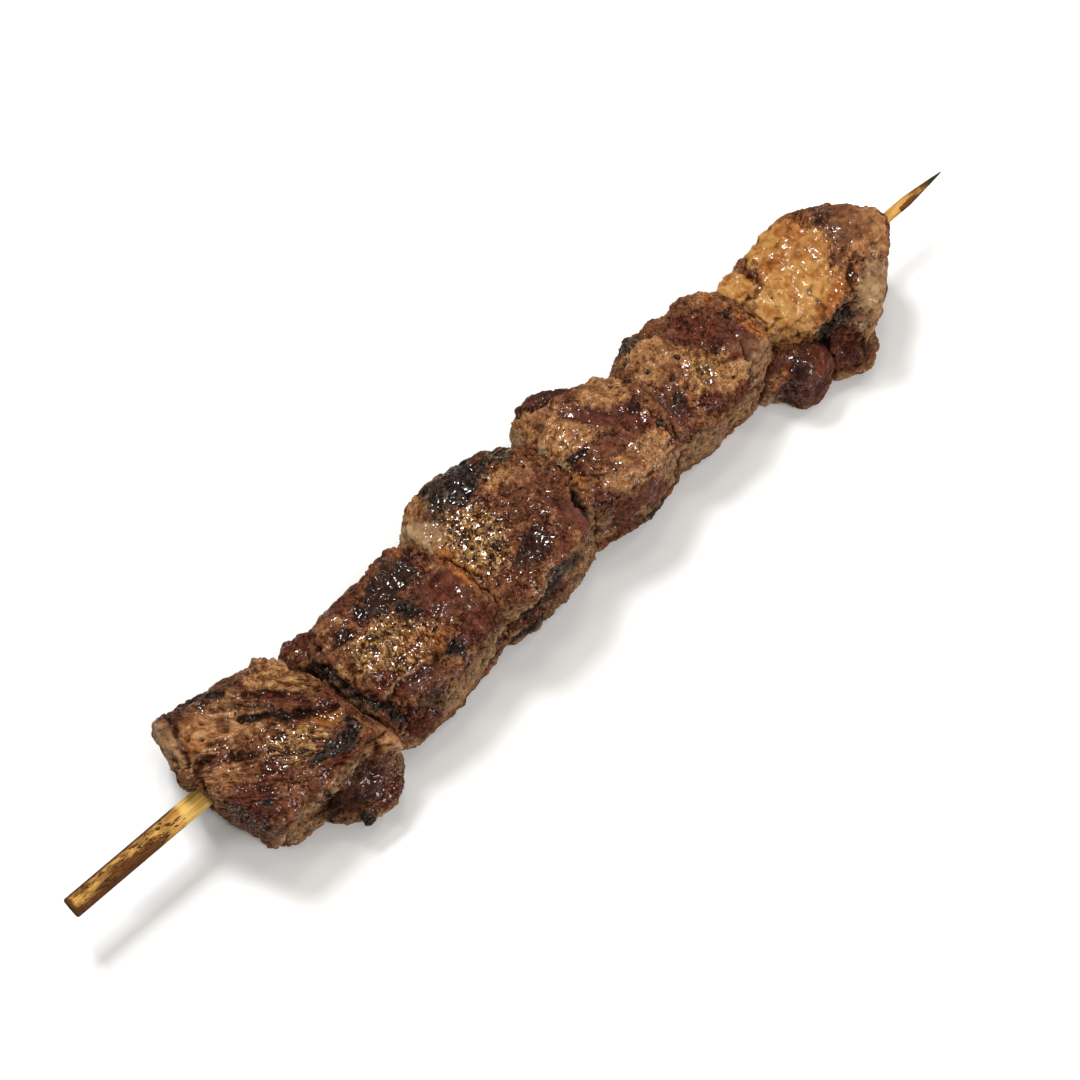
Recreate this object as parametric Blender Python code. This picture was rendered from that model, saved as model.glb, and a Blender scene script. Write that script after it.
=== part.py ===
"""Lamb shish kebab: six grilled chunks of lamb and one small trimming, threaded on a round wooden stick.

It lies on a flat surface, z = 0. The stick runs along +X, from its blunt end to its point. Each chunk is the
block that a few knife cuts leave, its edges rounded by cooking, with lobes of meat that swell out of it. Two
neighbours press together along a seam, and the seam gives both of them their side there.
Sizes below are in millimetres and angles in degrees; `MM` turns millimetres into the scene's metres.
"""

import math

import bmesh
import bpy
import numpy as np
from mathutils import Matrix

MM = 0.001

STICK_LENGTH = 250.0
STICK_RADIUS = 2.4
STICK_AXIS_HEIGHT = 15.0
STICK_AXIS_SHIFT = 2.09  # all is drawn round a stick at y = 0, then moved so that y = 0 halves the kebab's width
STICK_SIDES = 20
END_CHAMFER = 0.3
SHARP_ANGLE = 40.0
POINT_LENGTH = 44.0  # how far the whittled point runs back from the tip
POINT_TIP_RADIUS = 0.12
POINT_FULLNESS = 0.8  # 1 would be a straight cone, less bulges

GAP = 0.3  # air kept between two pieces that touch
CHUNK_DETAIL = 4  # subdivisions of the ball that a chunk is shaped from
TRIMMING_DETAIL = 3
SIDE_SHARPNESS = 15.0  # how crisply two sides of a chunk meet; more is crisper
EDGE_SHARPNESS = 6.0  # how crisply its top and its underside meet the open sides
SEAM_SHARPNESS = 16.0  # how crisply a side that a neighbour presses flat meets all the rest
LOBE_SHARPNESS = 14.0  # how crisply a lobe joins its chunk
FOOT_FLARE = 1.2  # how far a leaning side may come out below the middle
UNDERSIDE = 1.8  # how far below the resting plane the rounded underside would reach, before it is cut flat
LUMP_HEIGHT = 0.5  # slow unevenness of the cooked surface
LUMP_SIZE = 9.0
GROWTH_SLANT = 1.7  # a surface grown along its rays by this many gaps clears the first one by a gap at least

# Seams between neighbours, from the blunt end: where each crosses the stick, and the way it faces.
SEAMS = [(-57.2, 7), (-21.6, 11), (9.6, -2), (34.9, 2), (65.2, 0)]
PRESSED = None  # instead of a lean: this side is the seam with the neighbour

# A chunk's outline at the height of its middle runs counterclockwise as (x, y, lean of the side that starts
# here), where a side with a positive lean draws in towards the top. Its top is (way it slopes down, slope,
# height), and a lobe is (its middle, its three radii).
CHUNKS = {
    "chunk_1": dict(
        colour=(0.150, 0.058, 0.026),
        outline=[
            (-53.5, -19.0, PRESSED), (-57.0, 6.5, 16), (-62.5, 13.6, 10), (-89.0, 19.4, -2),
            (-91.6, 11.0, -6), (-91.4, -1.5, -2), (-83.6, -18.6, 4),
        ],
        top=(265, 6, 27.6),
        lobes=[((-63.0, -15.5, 7.5), (10.5, 10.5, 8.5)), ((-56.8, -14.5, 15.5), (4.6, 6.0, 7.0))],
    ),
    "chunk_2": dict(
        colour=(0.120, 0.044, 0.021),
        outline=[
            (-20.0, -15.5, PRESSED), (-24.0, 15.5, 12), (-36.0, 14.6, 8), (-51.0, 15.6, 14),
            (-57.0, 9.5, PRESSED), (-54.5, -17.0, 6), (-49.0, -19.5, 4), (-30.0, -18.3, 6),
        ],
        top=(200, 4, 27.0),
        lobes=[((-56.0, 10.5, 13.5), (5.0, 4.4, 5.0))],
    ),
    "chunk_3": dict(
        colour=(0.135, 0.055, 0.028),
        outline=[
            (8.6, -12.5, PRESSED), (9.6, 9.5, 10), (5.5, 16.5, 10), (-3.0, 19.6, 8), (-20.5, 20.2, 14),
            (-26.5, 14.0, PRESSED), (-19.5, -17.0, 2), (-9.0, -18.2, 2), (3.0, -16.0, 6),
        ],
        top=(120, 3, 28.8),
        lobes=[],
    ),
    "chunk_4": dict(
        colour=(0.175, 0.072, 0.034),
        outline=[
            (35.0, -9.0, PRESSED), (34.5, 12.0, 14), (24.5, 19.4, 12), (13.0, 22.0, 12), (8.8, 13.0, PRESSED),
            (9.6, -13.0, 2), (24.0, -15.3, 4), (32.5, -12.0, 4),
        ],
        top=(60, 4, 27.6),
        lobes=[],
    ),
    "chunk_5": dict(
        colour=(0.185, 0.078, 0.036),
        outline=[
            (65.0, -7.5, PRESSED), (65.0, 8.5, 8), (61.0, 14.2, 8), (41.0, 17.8, 16), (35.0, 11.5, PRESSED),
            (35.0, -12.4, 2), (60.0, -10.8, 4),
        ],
        top=(300, 4, 26.8),
        lobes=[],
    ),
    "chunk_6": dict(
        colour=(0.380, 0.180, 0.065),
        outline=[
            (65.0, -8.0, PRESSED), (65.0, 12.0, 14), (75.0, 15.0, 12), (87.0, 16.0, 24), (98.5, 9.0, 34),
            (107.0, -1.0, 26), (105.5, -5.5, 26), (86.5, -21.0, 14), (79.0, -16.0, 18),
        ],
        top=(200, 3, 27.8),
        lobes=[((82.5, -12.0, 5.0), (7.5, 9.0, 9.0))],
    ),
    "trimming": dict(
        colour=(0.070, 0.020, 0.015),
        outline=[
            (76.0, -16.0, 12), (76.0, -6.0, 12), (66.0, -2.0, 10), (61.0, -6.0, 8), (61.2, -11.5, 6),
            (69.0, -18.8, 6), (73.0, -18.8, 6),
        ],
        top=(200, 8, 16.5),
        lobes=[],
    ),
}

# A piece and the firmer neighbour whose shape is pressed into it.
DENTED_BY = [("chunk_2", "chunk_1"), ("trimming", "chunk_5"), ("trimming", "chunk_6")]

MEAT_ROUGHNESS = 0.42
WOOD_COLOUR = (0.50, 0.29, 0.10)
WOOD_ROUGHNESS = 0.6


def facing(azimuth, lean):
    """Unit vector that a side with this azimuth and lean faces."""
    turn, rise = math.radians(azimuth), math.radians(lean)
    return np.array([math.cos(rise) * math.cos(turn), math.cos(rise) * math.sin(turn), math.sin(rise)])


def plane(azimuth, lean, through, middle, inset=0.0):
    """A cut as (its facing, its distance from the middle)."""
    normal = facing(azimuth, lean)
    return normal, float(normal @ (np.array(through) - middle)) - inset


def middle_of(chunk):
    """The point inside a chunk that its surface is shaped round."""
    corners = np.array([(x, y) for x, y, _ in chunk["outline"]])
    return np.array([*corners.mean(axis=0), chunk["top"][2] / 2])


def seam_plane(corner, next_corner, middle):
    """The side that a chunk shares with a neighbour: half a gap short of the nearest seam."""
    side_x = (corner[0] + next_corner[0]) / 2
    seam_x, azimuth = min(SEAMS, key=lambda seam: abs(seam[0] - side_x))
    turned = azimuth if middle[0] < seam_x else azimuth + 180
    return plane(turned, 0, (seam_x, 0, middle[2]), middle, inset=GAP / 2)


def side_planes(chunk, middle):
    """The cuts of a chunk's open sides and of those pressed against a neighbour."""
    outline = chunk["outline"]
    open_sides, seams = [], []
    for (x, y, lean), following in zip(outline, outline[1:] + outline[:1]):
        if lean is PRESSED:
            seams.append(seam_plane((x, y), following, middle))
            continue
        azimuth = math.degrees(math.atan2(following[1] - y, following[0] - x)) - 90
        open_sides.append(plane(azimuth, lean, (x, y, middle[2]), middle))
        if lean > 0:
            open_sides.append(plane(azimuth, 0, (x, y, middle[2]), middle, inset=-FOOT_FLARE))
    return open_sides, seams


def closeness(rays, planes, sharpness):
    """How soon each ray meets the planes, as one over the distance, blended where several are close."""
    total = np.zeros(len(rays))
    for normal, distance in planes:
        total += np.maximum(rays @ normal / distance, 0.0) ** sharpness
    return total ** (1.0 / sharpness)


def lobe_reach(rays, middle, lobe):
    """How far each ray runs to the far side of a lobe; 0 where it misses it."""
    centre, radii = np.array(lobe[0]), np.array(lobe[1])
    across = rays / radii
    start = (centre - middle) / radii
    a = (across**2).sum(axis=1)
    b = across @ start
    inside = b**2 - a * ((start**2).sum() - 1.0)
    return np.where(inside > 0, (b + np.sqrt(np.maximum(inside, 0.0))) / a, 0.0).clip(0.0)


def lumps(places):
    """Slow unevenness, from three crossed waves."""
    turns = places / LUMP_SIZE
    waves = (
        np.sin(turns @ [2.1, 0.7, -1.1] + 0.8)
        + np.sin(turns @ [-0.9, 2.3, 0.6] + 2.1)
        + np.sin(turns @ [0.5, -1.2, 2.6] + 4.0)
    )
    return LUMP_HEIGHT * (waves / 2 - 1.3)


def chunk_surface(rays, chunk, growth):
    """Points of a chunk's surface along rays from its middle, grown outwards by `growth`."""
    middle = middle_of(chunk)
    slope_azimuth, slope, height = chunk["top"]
    top = plane(slope_azimuth, 90 - slope, (middle[0], middle[1], height), middle)
    underside = plane(0, -90, (0, 0, -UNDERSIDE), middle)
    open_sides, seams = side_planes(chunk, middle)
    sides = closeness(rays, open_sides, SIDE_SHARPNESS)
    caps = closeness(rays, [top, underside], EDGE_SHARPNESS)
    block = (sides**EDGE_SHARPNESS + caps**EDGE_SHARPNESS) ** (1.0 / EDGE_SHARPNESS)
    pressed = closeness(rays, seams, SEAM_SHARPNESS)
    reach = (block**SEAM_SHARPNESS + pressed**SEAM_SHARPNESS) ** (-1.0 / SEAM_SHARPNESS)
    total = reach**LOBE_SHARPNESS
    for lobe in chunk["lobes"]:
        total += lobe_reach(rays, middle, lobe) ** LOBE_SHARPNESS
    reach = total ** (1.0 / LOBE_SHARPNESS)
    places = middle + rays * reach[:, None]
    return places + rays * (lumps(places) + growth)[:, None]


def new_object(name, draw, material=None):
    """An object whose mesh is drawn by draw(bm) in millimetres and stored in metres."""
    bm = bmesh.new()
    draw(bm)
    bmesh.ops.translate(bm, vec=(0, STICK_AXIS_SHIFT, 0), verts=bm.verts)
    bmesh.ops.scale(bm, vec=(MM, MM, MM), verts=bm.verts)
    bmesh.ops.recalc_face_normals(bm, faces=bm.faces)
    mesh = bpy.data.meshes.new(name)
    bm.to_mesh(mesh)
    bm.free()
    made = bpy.data.objects.new(name, mesh)
    bpy.context.scene.collection.objects.link(made)
    if material:
        mesh.materials.append(material)
    mesh.shade_smooth()
    return made


def draw_chunk(bm, chunk, growth=0.0, detail=CHUNK_DETAIL):
    """A ball whose points are moved out to the chunk's surface, sliced flat where the chunk rests."""
    bmesh.ops.create_icosphere(bm, subdivisions=detail, radius=1.0)
    rays = np.array([v.co for v in bm.verts])
    rays /= np.linalg.norm(rays, axis=1)[:, None]
    for vertex, place in zip(bm.verts, chunk_surface(rays, chunk, growth)):
        vertex.co = place
    everything = bm.verts[:] + bm.edges[:] + bm.faces[:]
    sliced = bmesh.ops.bisect_plane(bm, geom=everything, plane_co=(0, 0, 0), plane_no=(0, 0, -1), clear_outer=True)
    rim = [item for item in sliced["geom_cut"] if isinstance(item, bmesh.types.BMEdge)]
    bmesh.ops.contextual_create(bm, geom=rim)


def stick_stations(growth=0.0):
    """Places and radii along the stick: a chamfered blunt end, a straight shaft and a whittled point."""
    half = STICK_LENGTH / 2
    stations = [(-half, STICK_RADIUS - END_CHAMFER), (-half + END_CHAMFER, STICK_RADIUS)]
    for share in (1.0, 0.8, 0.6, 0.42, 0.28, 0.16, 0.07, 0.0):
        radius = POINT_TIP_RADIUS + (STICK_RADIUS - POINT_TIP_RADIUS) * share**POINT_FULLNESS
        stations.append((half - POINT_LENGTH * share, radius))
    return [(along, radius + growth) for along, radius in stations]


def draw_stick(bm, growth=0.0):
    """Rings of the stick, bridged one after the other and closed at both ends."""
    upright = Matrix.Rotation(math.radians(90), 4, "Y")
    rings = []
    for along, radius in stick_stations(growth):
        place = Matrix.Translation((along, 0, STICK_AXIS_HEIGHT)) @ upright
        ring = bmesh.ops.create_circle(bm, cap_ends=False, radius=radius, segments=STICK_SIDES, matrix=place)
        rings.append(ring["verts"])
    for near, far in zip(rings, rings[1:]):
        for i in range(STICK_SIDES):
            j = (i + 1) % STICK_SIDES
            bm.faces.new((near[i], near[j], far[j], far[i]))
    bm.faces.new(rings[0])
    bm.faces.new(rings[-1])


def cut_from(target, cutter):
    cut = target.modifiers.new("cut_" + cutter.name, "BOOLEAN")
    cut.operation = "DIFFERENCE"
    cut.solver = "EXACT"
    cut.object = cutter


def new_cutter(name, draw):
    cutter = new_object(name, draw)
    cutter.hide_render = True
    cutter.display_type = "WIRE"
    return cutter


def new_material(name, colour, roughness):
    made = bpy.data.materials.new(name)
    made.use_nodes = True
    shader = made.node_tree.nodes["Principled BSDF"]
    shader.inputs["Base Color"].default_value = (*colour, 1.0)
    shader.inputs["Roughness"].default_value = roughness
    shader.inputs["Metallic"].default_value = 0.0
    return made


def make_stick():
    stick = new_object("stick", draw_stick, new_material("stick_wood", WOOD_COLOUR, WOOD_ROUGHNESS))
    stick.data.set_sharp_from_angle(angle=math.radians(SHARP_ANGLE))


def make_chunk(name, chunk, bore):
    """One piece of meat with the stick's way bored through it."""
    detail = TRIMMING_DETAIL if name == "trimming" else CHUNK_DETAIL
    material = new_material(name + "_meat", chunk["colour"], MEAT_ROUGHNESS)
    made = new_object(name, lambda bm: draw_chunk(bm, chunk, detail=detail), material)
    cut_from(made, bore)
    return made


def main():
    for old in list(bpy.data.objects):
        bpy.data.objects.remove(old)
    make_stick()
    bore = new_cutter("bore", lambda bm: draw_stick(bm, growth=GAP))
    made = {name: make_chunk(name, chunk, bore) for name, chunk in CHUNKS.items()}
    for dented, name in DENTED_BY:
        wider = GROWTH_SLANT * GAP
        beside = new_cutter("beside_" + name, lambda bm: draw_chunk(bm, CHUNKS[name], growth=wider))
        cut_from(made[dented], beside)


main()
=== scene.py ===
import math
from functools import cache

import bpy
import numpy as np
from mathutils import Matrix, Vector
from mathutils.bvhtree import BVHTree


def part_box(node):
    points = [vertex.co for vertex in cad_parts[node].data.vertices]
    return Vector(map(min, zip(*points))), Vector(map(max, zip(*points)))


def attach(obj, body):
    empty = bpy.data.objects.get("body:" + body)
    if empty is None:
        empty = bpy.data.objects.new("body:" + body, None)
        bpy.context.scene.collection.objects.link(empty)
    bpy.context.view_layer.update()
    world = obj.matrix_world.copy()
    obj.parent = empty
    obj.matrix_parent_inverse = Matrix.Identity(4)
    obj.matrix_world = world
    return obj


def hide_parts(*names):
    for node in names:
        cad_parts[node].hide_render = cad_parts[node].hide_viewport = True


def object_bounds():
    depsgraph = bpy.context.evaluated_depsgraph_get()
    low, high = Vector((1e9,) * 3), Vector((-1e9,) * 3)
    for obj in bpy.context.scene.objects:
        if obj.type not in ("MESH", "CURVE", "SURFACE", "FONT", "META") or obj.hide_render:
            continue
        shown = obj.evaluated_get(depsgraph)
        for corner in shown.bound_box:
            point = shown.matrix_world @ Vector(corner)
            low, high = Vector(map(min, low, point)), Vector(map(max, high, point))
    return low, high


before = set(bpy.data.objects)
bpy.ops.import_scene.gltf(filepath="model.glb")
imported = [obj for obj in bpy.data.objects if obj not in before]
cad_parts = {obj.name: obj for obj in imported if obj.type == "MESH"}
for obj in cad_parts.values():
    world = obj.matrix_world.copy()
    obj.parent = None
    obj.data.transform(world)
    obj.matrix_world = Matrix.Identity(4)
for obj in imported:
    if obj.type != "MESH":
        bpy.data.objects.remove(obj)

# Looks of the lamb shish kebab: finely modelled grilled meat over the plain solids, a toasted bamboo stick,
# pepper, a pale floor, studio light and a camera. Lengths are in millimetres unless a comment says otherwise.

MM = 0.001
CAD_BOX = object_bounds()

STICK_LOW, STICK_HIGH = (np.array(corner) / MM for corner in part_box("stick"))
AXIS = (STICK_LOW + STICK_HIGH) / 2  # the middle of the stick

# Where the camera stands: its turn round the kebab, how high it looks down from, how far back it is, and what
# it aims at on the ground, from the stick's middle.
AZIMUTH, ELEVATION, DISTANCE = math.radians(-42.533), math.radians(68.0), 600.0
AIM = np.array([2.76, -0.38, 0.0])
TO_CAMERA = np.array([
    math.sin(AZIMUTH) * math.cos(ELEVATION), -math.cos(AZIMUTH) * math.cos(ELEVATION), math.sin(ELEVATION)
])

# All places on the meat are given from the stick: along it from its middle, and to its left. They are read
# where a slanting line of sight from EYE passes LEVEL, so that one pair of numbers finds a place on a chunk's
# top and on its near side alike. EYE is where the camera stands, to a tenth of a millimetre.
LEVEL = 22.0
EYE = np.round(AIM + DISTANCE * TO_CAMERA, 1)

COARSE, FINE = 0.6, 0.30  # fineness of the meat's mesh, before and after it leans on its neighbours
COARSE_ROUNDS, FINE_ROUNDS = 6, 14  # rounds of smoothing that each gets
LEANING = 9.0  # air under this is closed by leaning on the neighbour
LEAN_SHARE = 0.52  # how much of that air each closes: a little over half, so that they press together
APART_SHARE = 0.45  # how much of the air a chunk may swell into, towards a neighbour it stays apart from
OVERSIZE = np.array([3.0, 1.1, 0.7])  # how far the meat's unevenness may stand out of the kebab's box
ROOM = 3.0  # how far a place may move out where nothing is near
PULL_IN = 0.3  # how far a place that has no room left may be pulled in by one step
WANDER = 0.7  # how far the edges of marks wander


# ---------------------------------------- noise
class Grain:
    """Random but repeatable unevenness at places in space: smooth waves and rounded cells."""

    def __init__(self, seed):
        rng = np.random.default_rng(seed)
        self.order = rng.permutation(256)
        slopes = rng.normal(size=(256, 3))
        self.slopes = slopes / np.linalg.norm(slopes, axis=1)[:, None]
        self.spots = rng.random((256, 3))

    def corner(self, cell):
        """A number from 0 to 255 for each whole-numbered place."""
        first = self.order[cell[:, 0] & 255]
        second = self.order[(first + cell[:, 1]) & 255]
        return self.order[(second + cell[:, 2]) & 255]

    def waves(self, places):
        """Smooth noise from about -1 to 1, with waves about one unit apart."""
        cell = np.floor(places).astype(int)
        inside = places - cell
        ease = inside**3 * (inside * (inside * 6 - 15) + 10)
        total = np.zeros(len(places))
        for step in np.ndindex(2, 2, 2):
            slope = self.slopes[self.corner(cell + step)]
            share = np.where(step, ease, 1 - ease).prod(axis=1)
            total += share * ((inside - step) * slope).sum(axis=1)
        return total * 1.6

    def rough(self, places, size, shift=0.0, octaves=4, fading=0.5):
        """Waves on waves, each half as wide as the last: size is how far apart the widest are, and shift
        is where in the noise they are read, so that no two uses look alike."""
        places = places / size + shift
        total, height, finer = np.zeros(len(places)), 1.0, 1.0
        for octave in range(octaves):
            total += height * self.waves(places * finer + 17.3 * octave)
            height *= fading
            finer *= 2.03
        return total

    def cell_edges(self, places):
        """How much nearer each place is to its own cell's middle than to the next cell's: 0 on an edge."""
        home = np.floor(places).astype(int)
        nearest = np.full(len(places), 9.0)
        second = np.full(len(places), 9.0)
        for step in np.ndindex(3, 3, 3):
            cell = home + np.array(step) - 1
            away = np.linalg.norm(cell + self.spots[self.corner(cell)] - places, axis=1)
            second = np.where(away < nearest, nearest, np.minimum(second, away))
            nearest = np.minimum(nearest, away)
        return second - nearest


def ramp(value, low, high):
    """0 below low, 1 above high, and a smooth step between them; high may be the smaller of the two."""
    share = np.clip((value - low) / (high - low), 0.0, 1.0)
    return share * share * (3 - 2 * share)


def ridges(noise, middle):
    """Noise folded at 0 into sharp ridges, which stand as high as the middle given."""
    return middle - np.abs(noise)


def bell(value, width):
    """1 at 0, fading out at the width on both sides."""
    return np.exp(-((value / width) ** 2))


# ---------------------------------------- looks of each chunk
# grain: the way its fibres run, seen from above, in degrees from the stick, and how that turns for each
#   millimetre to the left. fibrous, granular: how strong its threads and its grainy crust are.
# apart: the neighbours that it leaves a gap to; it leans on all the others.
# marks: ovals of each stain, as strength, middle x and y, half length, half width and, where it doesn't lie
#   along the stick, its turn in degrees.
# swells: height (a dent is negative), then the oval in the same way.
# lines: a groove, or a ledge, which is high on the left of its way, with painted shade in the groove and at
#   the ledge's foot; height, width, points.
# strokes: lines of each stain, as strength, width, points.
# pepper: x, y, half length, turn of each cracked peppercorn or crumb of char that lies on it.
# strands: half thickness, lift, points of the loose pale fibres.
LOOKS = {}
LOOKS["chunk_1"] = dict(
    seed=11, slot="browned_lamb", grain=(-35, -0.5), fibrous=1, granular=0.35, apart=("chunk_2",),
    marks=dict(
        grey=[(1, -89.5, 12.1, 2.4, 6.5), (0.75, -69, -17.9, 15, 1.3, 6)],
        tan=[(0.9, -80, 8.1, 9, 5, -32), (0.6, -86, -1.9, 4, 4), (0.75, -64.5, 8.1, 7, 3.6, -38),
             (1, -55, -18.4, 3, 3), (1, -54.6, -18.3, 3.4, 3.4)],
        rim=[(0.7, -86, 6.7, 2.2, 1.6, 30), (0.7, -61.5, -5.9, 4, 2.2, -32),
             (0.7, -53.6, -18.9, 1.6, 2.6, 10), (0.6, -57.5, -17.1, 3, 1.2, 15)],
        dark=[(0.8, -85.4, 3, 1.3, 1), (0.8, -72, -21.4, 4, 2, 20), (0.6, -67, -23.9, 5, 2.2, 10)],
        gold=[(0.45, -63, 5.1, 5, 2.4, -42), (0.95, -70.5, -6.2, 5.5, 3.4, -25)],
        red=[(0.7, -66, 3.7, 7, 1.2, -40), (1, -60, -4.2, 2.6, 2.4), (1, -77, -7.9, 3.6, 2.6, -20),
             (0.95, -84.5, -10.9, 5.2, 6, 10), (0.8, -66, -14.9, 9, 1.3, 4), (0.95, -63, -26.4, 4, 2.5)],
        wet=[(1, -60, -4.2, 2.6, 2.4), (1, -63, -24.9, 5, 3.4), (0.8, -70, -5.9, 10, 7),
             (0.7, -84, -10.9, 6, 6)],
        char=[(0.95, -63.5, -12.3, 6.4, 1.7, -6), (0.9, -58.5, -10.3, 1.2, 2.2), (1, -82.3, -11.9, 1.3, 1.2),
              (1, -69.1, -27.7, 1.6, 1.4)],
        mauve=[(0.9, -65, -22, 7, 3, 8)],
    ),
    swells=[(2.2, -62.5, 10.5, 3, 2.4, -30), (0.9, -69.2, -28.1, 1.8, 1.6), (1, -92, 3.1, 1.4, 1.6),
            (0.5, -63.5, 7.1, 6, 3.5, -42), (0.5, -70.5, -5.9, 6, 3, -25), (0.7, -60, -3.9, 2.4, 2.2),
            (2, -55, -18.2, 2.2, 2.8, 10)],
    lines=[
        ("groove", 1.3, 1.3, [(-74.4, 4.9), (-69, 1.1), (-65.3, -1.9), (-61.4, -4.2), (-57.6, -5.7)]),
        ("groove", 0.4, 0.8, [(-87, 3.1), (-80, -0.4), (-74, -4.9), (-69, -9.9)]),
        ("groove", 0.5, 0.7, [(-71, 9.1), (-66, 4.6), (-61.5, 1.1)]),
        ("groove", 0.4, 0.6, [(-78, 11.1), (-72, 6.6), (-68, 3.1)]),
        ("ledge", 1.3, 0.8, [(-88, -20), (-84, -19.4), (-75.4, -17.1), (-67.2, -17.1), (-59.5, -15.7),
                             (-55.7, -16.1)]),
        ("ledge", 0.5, 0.7, [(-90, 1.1), (-88.7, 8.1), (-86.8, 14.1)]),
    ],
    strokes=dict(
        char=[(1, 1.2, [(-85.5, 15.9), (-81, 15.3), (-77, 13.5), (-74.5, 12.7)]),
              (0.7, 0.6, [(-74.5, 12.7), (-70, 12.1), (-64, 11.5)]),
              (0.8, 0.6, [(-74, 4.5), (-70, 1.5), (-67, -0.5)])],
        red=[(0.8, 0.9, [(-86, 14.3), (-81.5, 13.5), (-77, 11.7)])],
        dark=[(1, 1.1, [(-75, 5.3), (-70.5, 2.1), (-67.5, -0.4), (-63.5, -3.1)])],
        pale=[(1, 0.3, [(-90, 2.9), (-87.5, 5.1), (-84, 4.9), (-80, 3.5), (-78.6, 2.7)]),
              (0.9, 0.35, [(-86, -19.5), (-75.4, -17.5), (-67.2, -17.9), (-59.5, -16.4)]),
              (0.7, 0.3, [(-83, -20.3), (-74, -18.7), (-65, -19.1), (-58, -17.9)]),
              (0.7, 0.35, [(-91.5, 6.1), (-90.8, 11.1), (-88, 15.6)])],
    ),
    pepper=[(-83.5, 7, 0.4, 0), (-85.8, 6.2, 0.35, 0), (-75, 7.1, 0.35, 40), (-70.8, -1.9, 0.35, 0),
            (-68.2, -6.1, 0.3, 0), (-69.2, -27.9, 1.4, 20)],
    strands=[(0.12, 0.12, [(-90, 2.9), (-88.9, 4.3), (-87.4, 5)]),
             (0.14, 0.25, [(-57.4, 3.7), (-56.9, 2.3), (-57.6, 1.1)])],
)
LOOKS["chunk_2"] = dict(
    seed=12, slot="browned_lamb", grain=(78, 0), fibrous=0.45, granular=0.8, apart=("chunk_1",),
    marks=dict(
        red=[(1, -56, 9.9, 4.2, 3.2), (0.7, -25.5, -1.4, 3.4, 3.4, 20), (0.6, -24, -11.9, 4.5, 2.5, 10),
             (1, -47.5, -9.4, 2.8, 4), (0.95, -48, -19.4, 4, 4)],
        wet=[(0.5, -56, 9.9, 4, 3), (1, -33.5, 6.9, 8.5, 3.4, 5), (1, -48, 4.6, 2.4, 2),
             (1, -32.3, -12.9, 2, 2), (0.5, -42, -16.9, 6, 3), (1, -42, -3.9, 9, 7)],
        mauve=[(0.9, -45, 11.1, 7, 1.8), (0.9, -26.5, -1.9, 6.5, 6), (1, -25, -12.3, 6, 3.4, 10),
               (1, -42, -12.9, 5.5, 2.4, -8)],
        tan=[(0.6, -47, 8.7, 4.5, 1.4), (0.6, -28, -15.7, 4, 1.4, 14)],
        dark=[(1, -33.5, 6.9, 9.8, 4, 5), (0.8, -48, 4.6, 2.4, 1.8), (0.5, -42, -12.5, 4.5, 1.6, -8),
              (0.6, -43, -17.9, 3, 3)],
        smooth=[(1, -33.5, 6.9, 9.8, 4, 5), (0.5, -26, -1.9, 5.5, 5.5), (0.4, -42, -12.9, 5, 2.2, -8)],
        char=[(0.35, -30.5, 7.3, 4.5, 2.4, 10), (1, -34.2, 0.4, 1.8, 2.2, 20), (1, -32.3, -12.9, 1.8, 1.8),
              (1, -24.7, 11.1, 1.2, 1.8)],
        gold=[(0.95, -42, -4.4, 8.5, 6, -20)],
        rim=[(0.55, -37, -7.4, 5.5, 3.2, -20), (0.8, -27.5, 11.7, 1.6, 1.6), (0.8, -20.5, -0.4, 1.2, 5)],
        grey=[(0.9, -36, -19.9, 8, 1.6, 14)],
    ),
    swells=[(2, -31, 12.9, 4, 2.6), (-1.3, -33.5, 6.9, 9, 3.4, 5), (-1.8, -24.7, 11.1, 1.4, 1.9),
            (0.6, -41, -4.4, 7.5, 4.5, -15), (0.5, -34.2, 0.4, 1.7, 2), (0.5, -42, -12.9, 5, 2.2, -8)],
    lines=[
        ("ledge", 0.6, 0.7, [(-51, -11.4), (-46, -10.5), (-40, -11.5), (-33, -11.1)]),
        ("ledge", 0.7, 0.8, [(-51, -16.5), (-44, -16.3), (-35, -17), (-26, -15.4)]),
        ("groove", 0.9, 0.6, [(-19.5, -15.5), (-24, -18.3), (-29, -20.3)]),
        ("groove", 0.8, 0.6, [(-52.2, 8.6), (-53.5, 5.6)]),
        ("groove", 1.8, 1.8, [(-55.5, 1.1), (-54.6, -4.9), (-52.8, -9.9), (-50.6, -14.4), (-49.6, -17.9)]),
    ],
    strokes=dict(
        # The first char stroke, along the valley to chunk_1, is painted shade.
        char=[(1, 1.5, [(-56.2, 3.6), (-55.6, -2.9), (-54.2, -8.5), (-51.8, -13.3), (-50.6, -17.4)]),
              (0.9, 0.9, [(-41, 5.3), (-38, 3.9), (-35.5, 2.5)])],
        pale=[(1, 0.5, [(-28.6, -19.4), (-24, -17.3), (-19.3, -14.4)]),
              (0.8, 0.35, [(-58.3, 9), (-57.3, 7.8), (-56, 7.6)]),
              (0.6, 0.3, [(-50, -11.1), (-46, -9.9), (-41, -10.8)])],
        rim=[(0.8, 0.5, [(-28, 12.7), (-26, 13.3), (-24.4, 13.1)])],
        tan=[(0.9, 0.7, [(-24, 4.1), (-22.5, 0.1), (-21.5, -3.9)])],
    ),
    pepper=[(-33.9, 0.2, 1.6, 60), (-35, 1.5, 0.9, 100), (-32.2, -13.1, 0.9, 0), (-37, -1.9, 0.35, 0),
            (-33.6, -4.9, 0.5, 0), (-33, -7.1, 0.5, 20), (-24, 1.3, 0.35, 0)],
    strands=[(0.12, 0.1, [(-44.3, 1.7), (-42.6, 0.5), (-42.2, -1.9)])],
)
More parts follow.
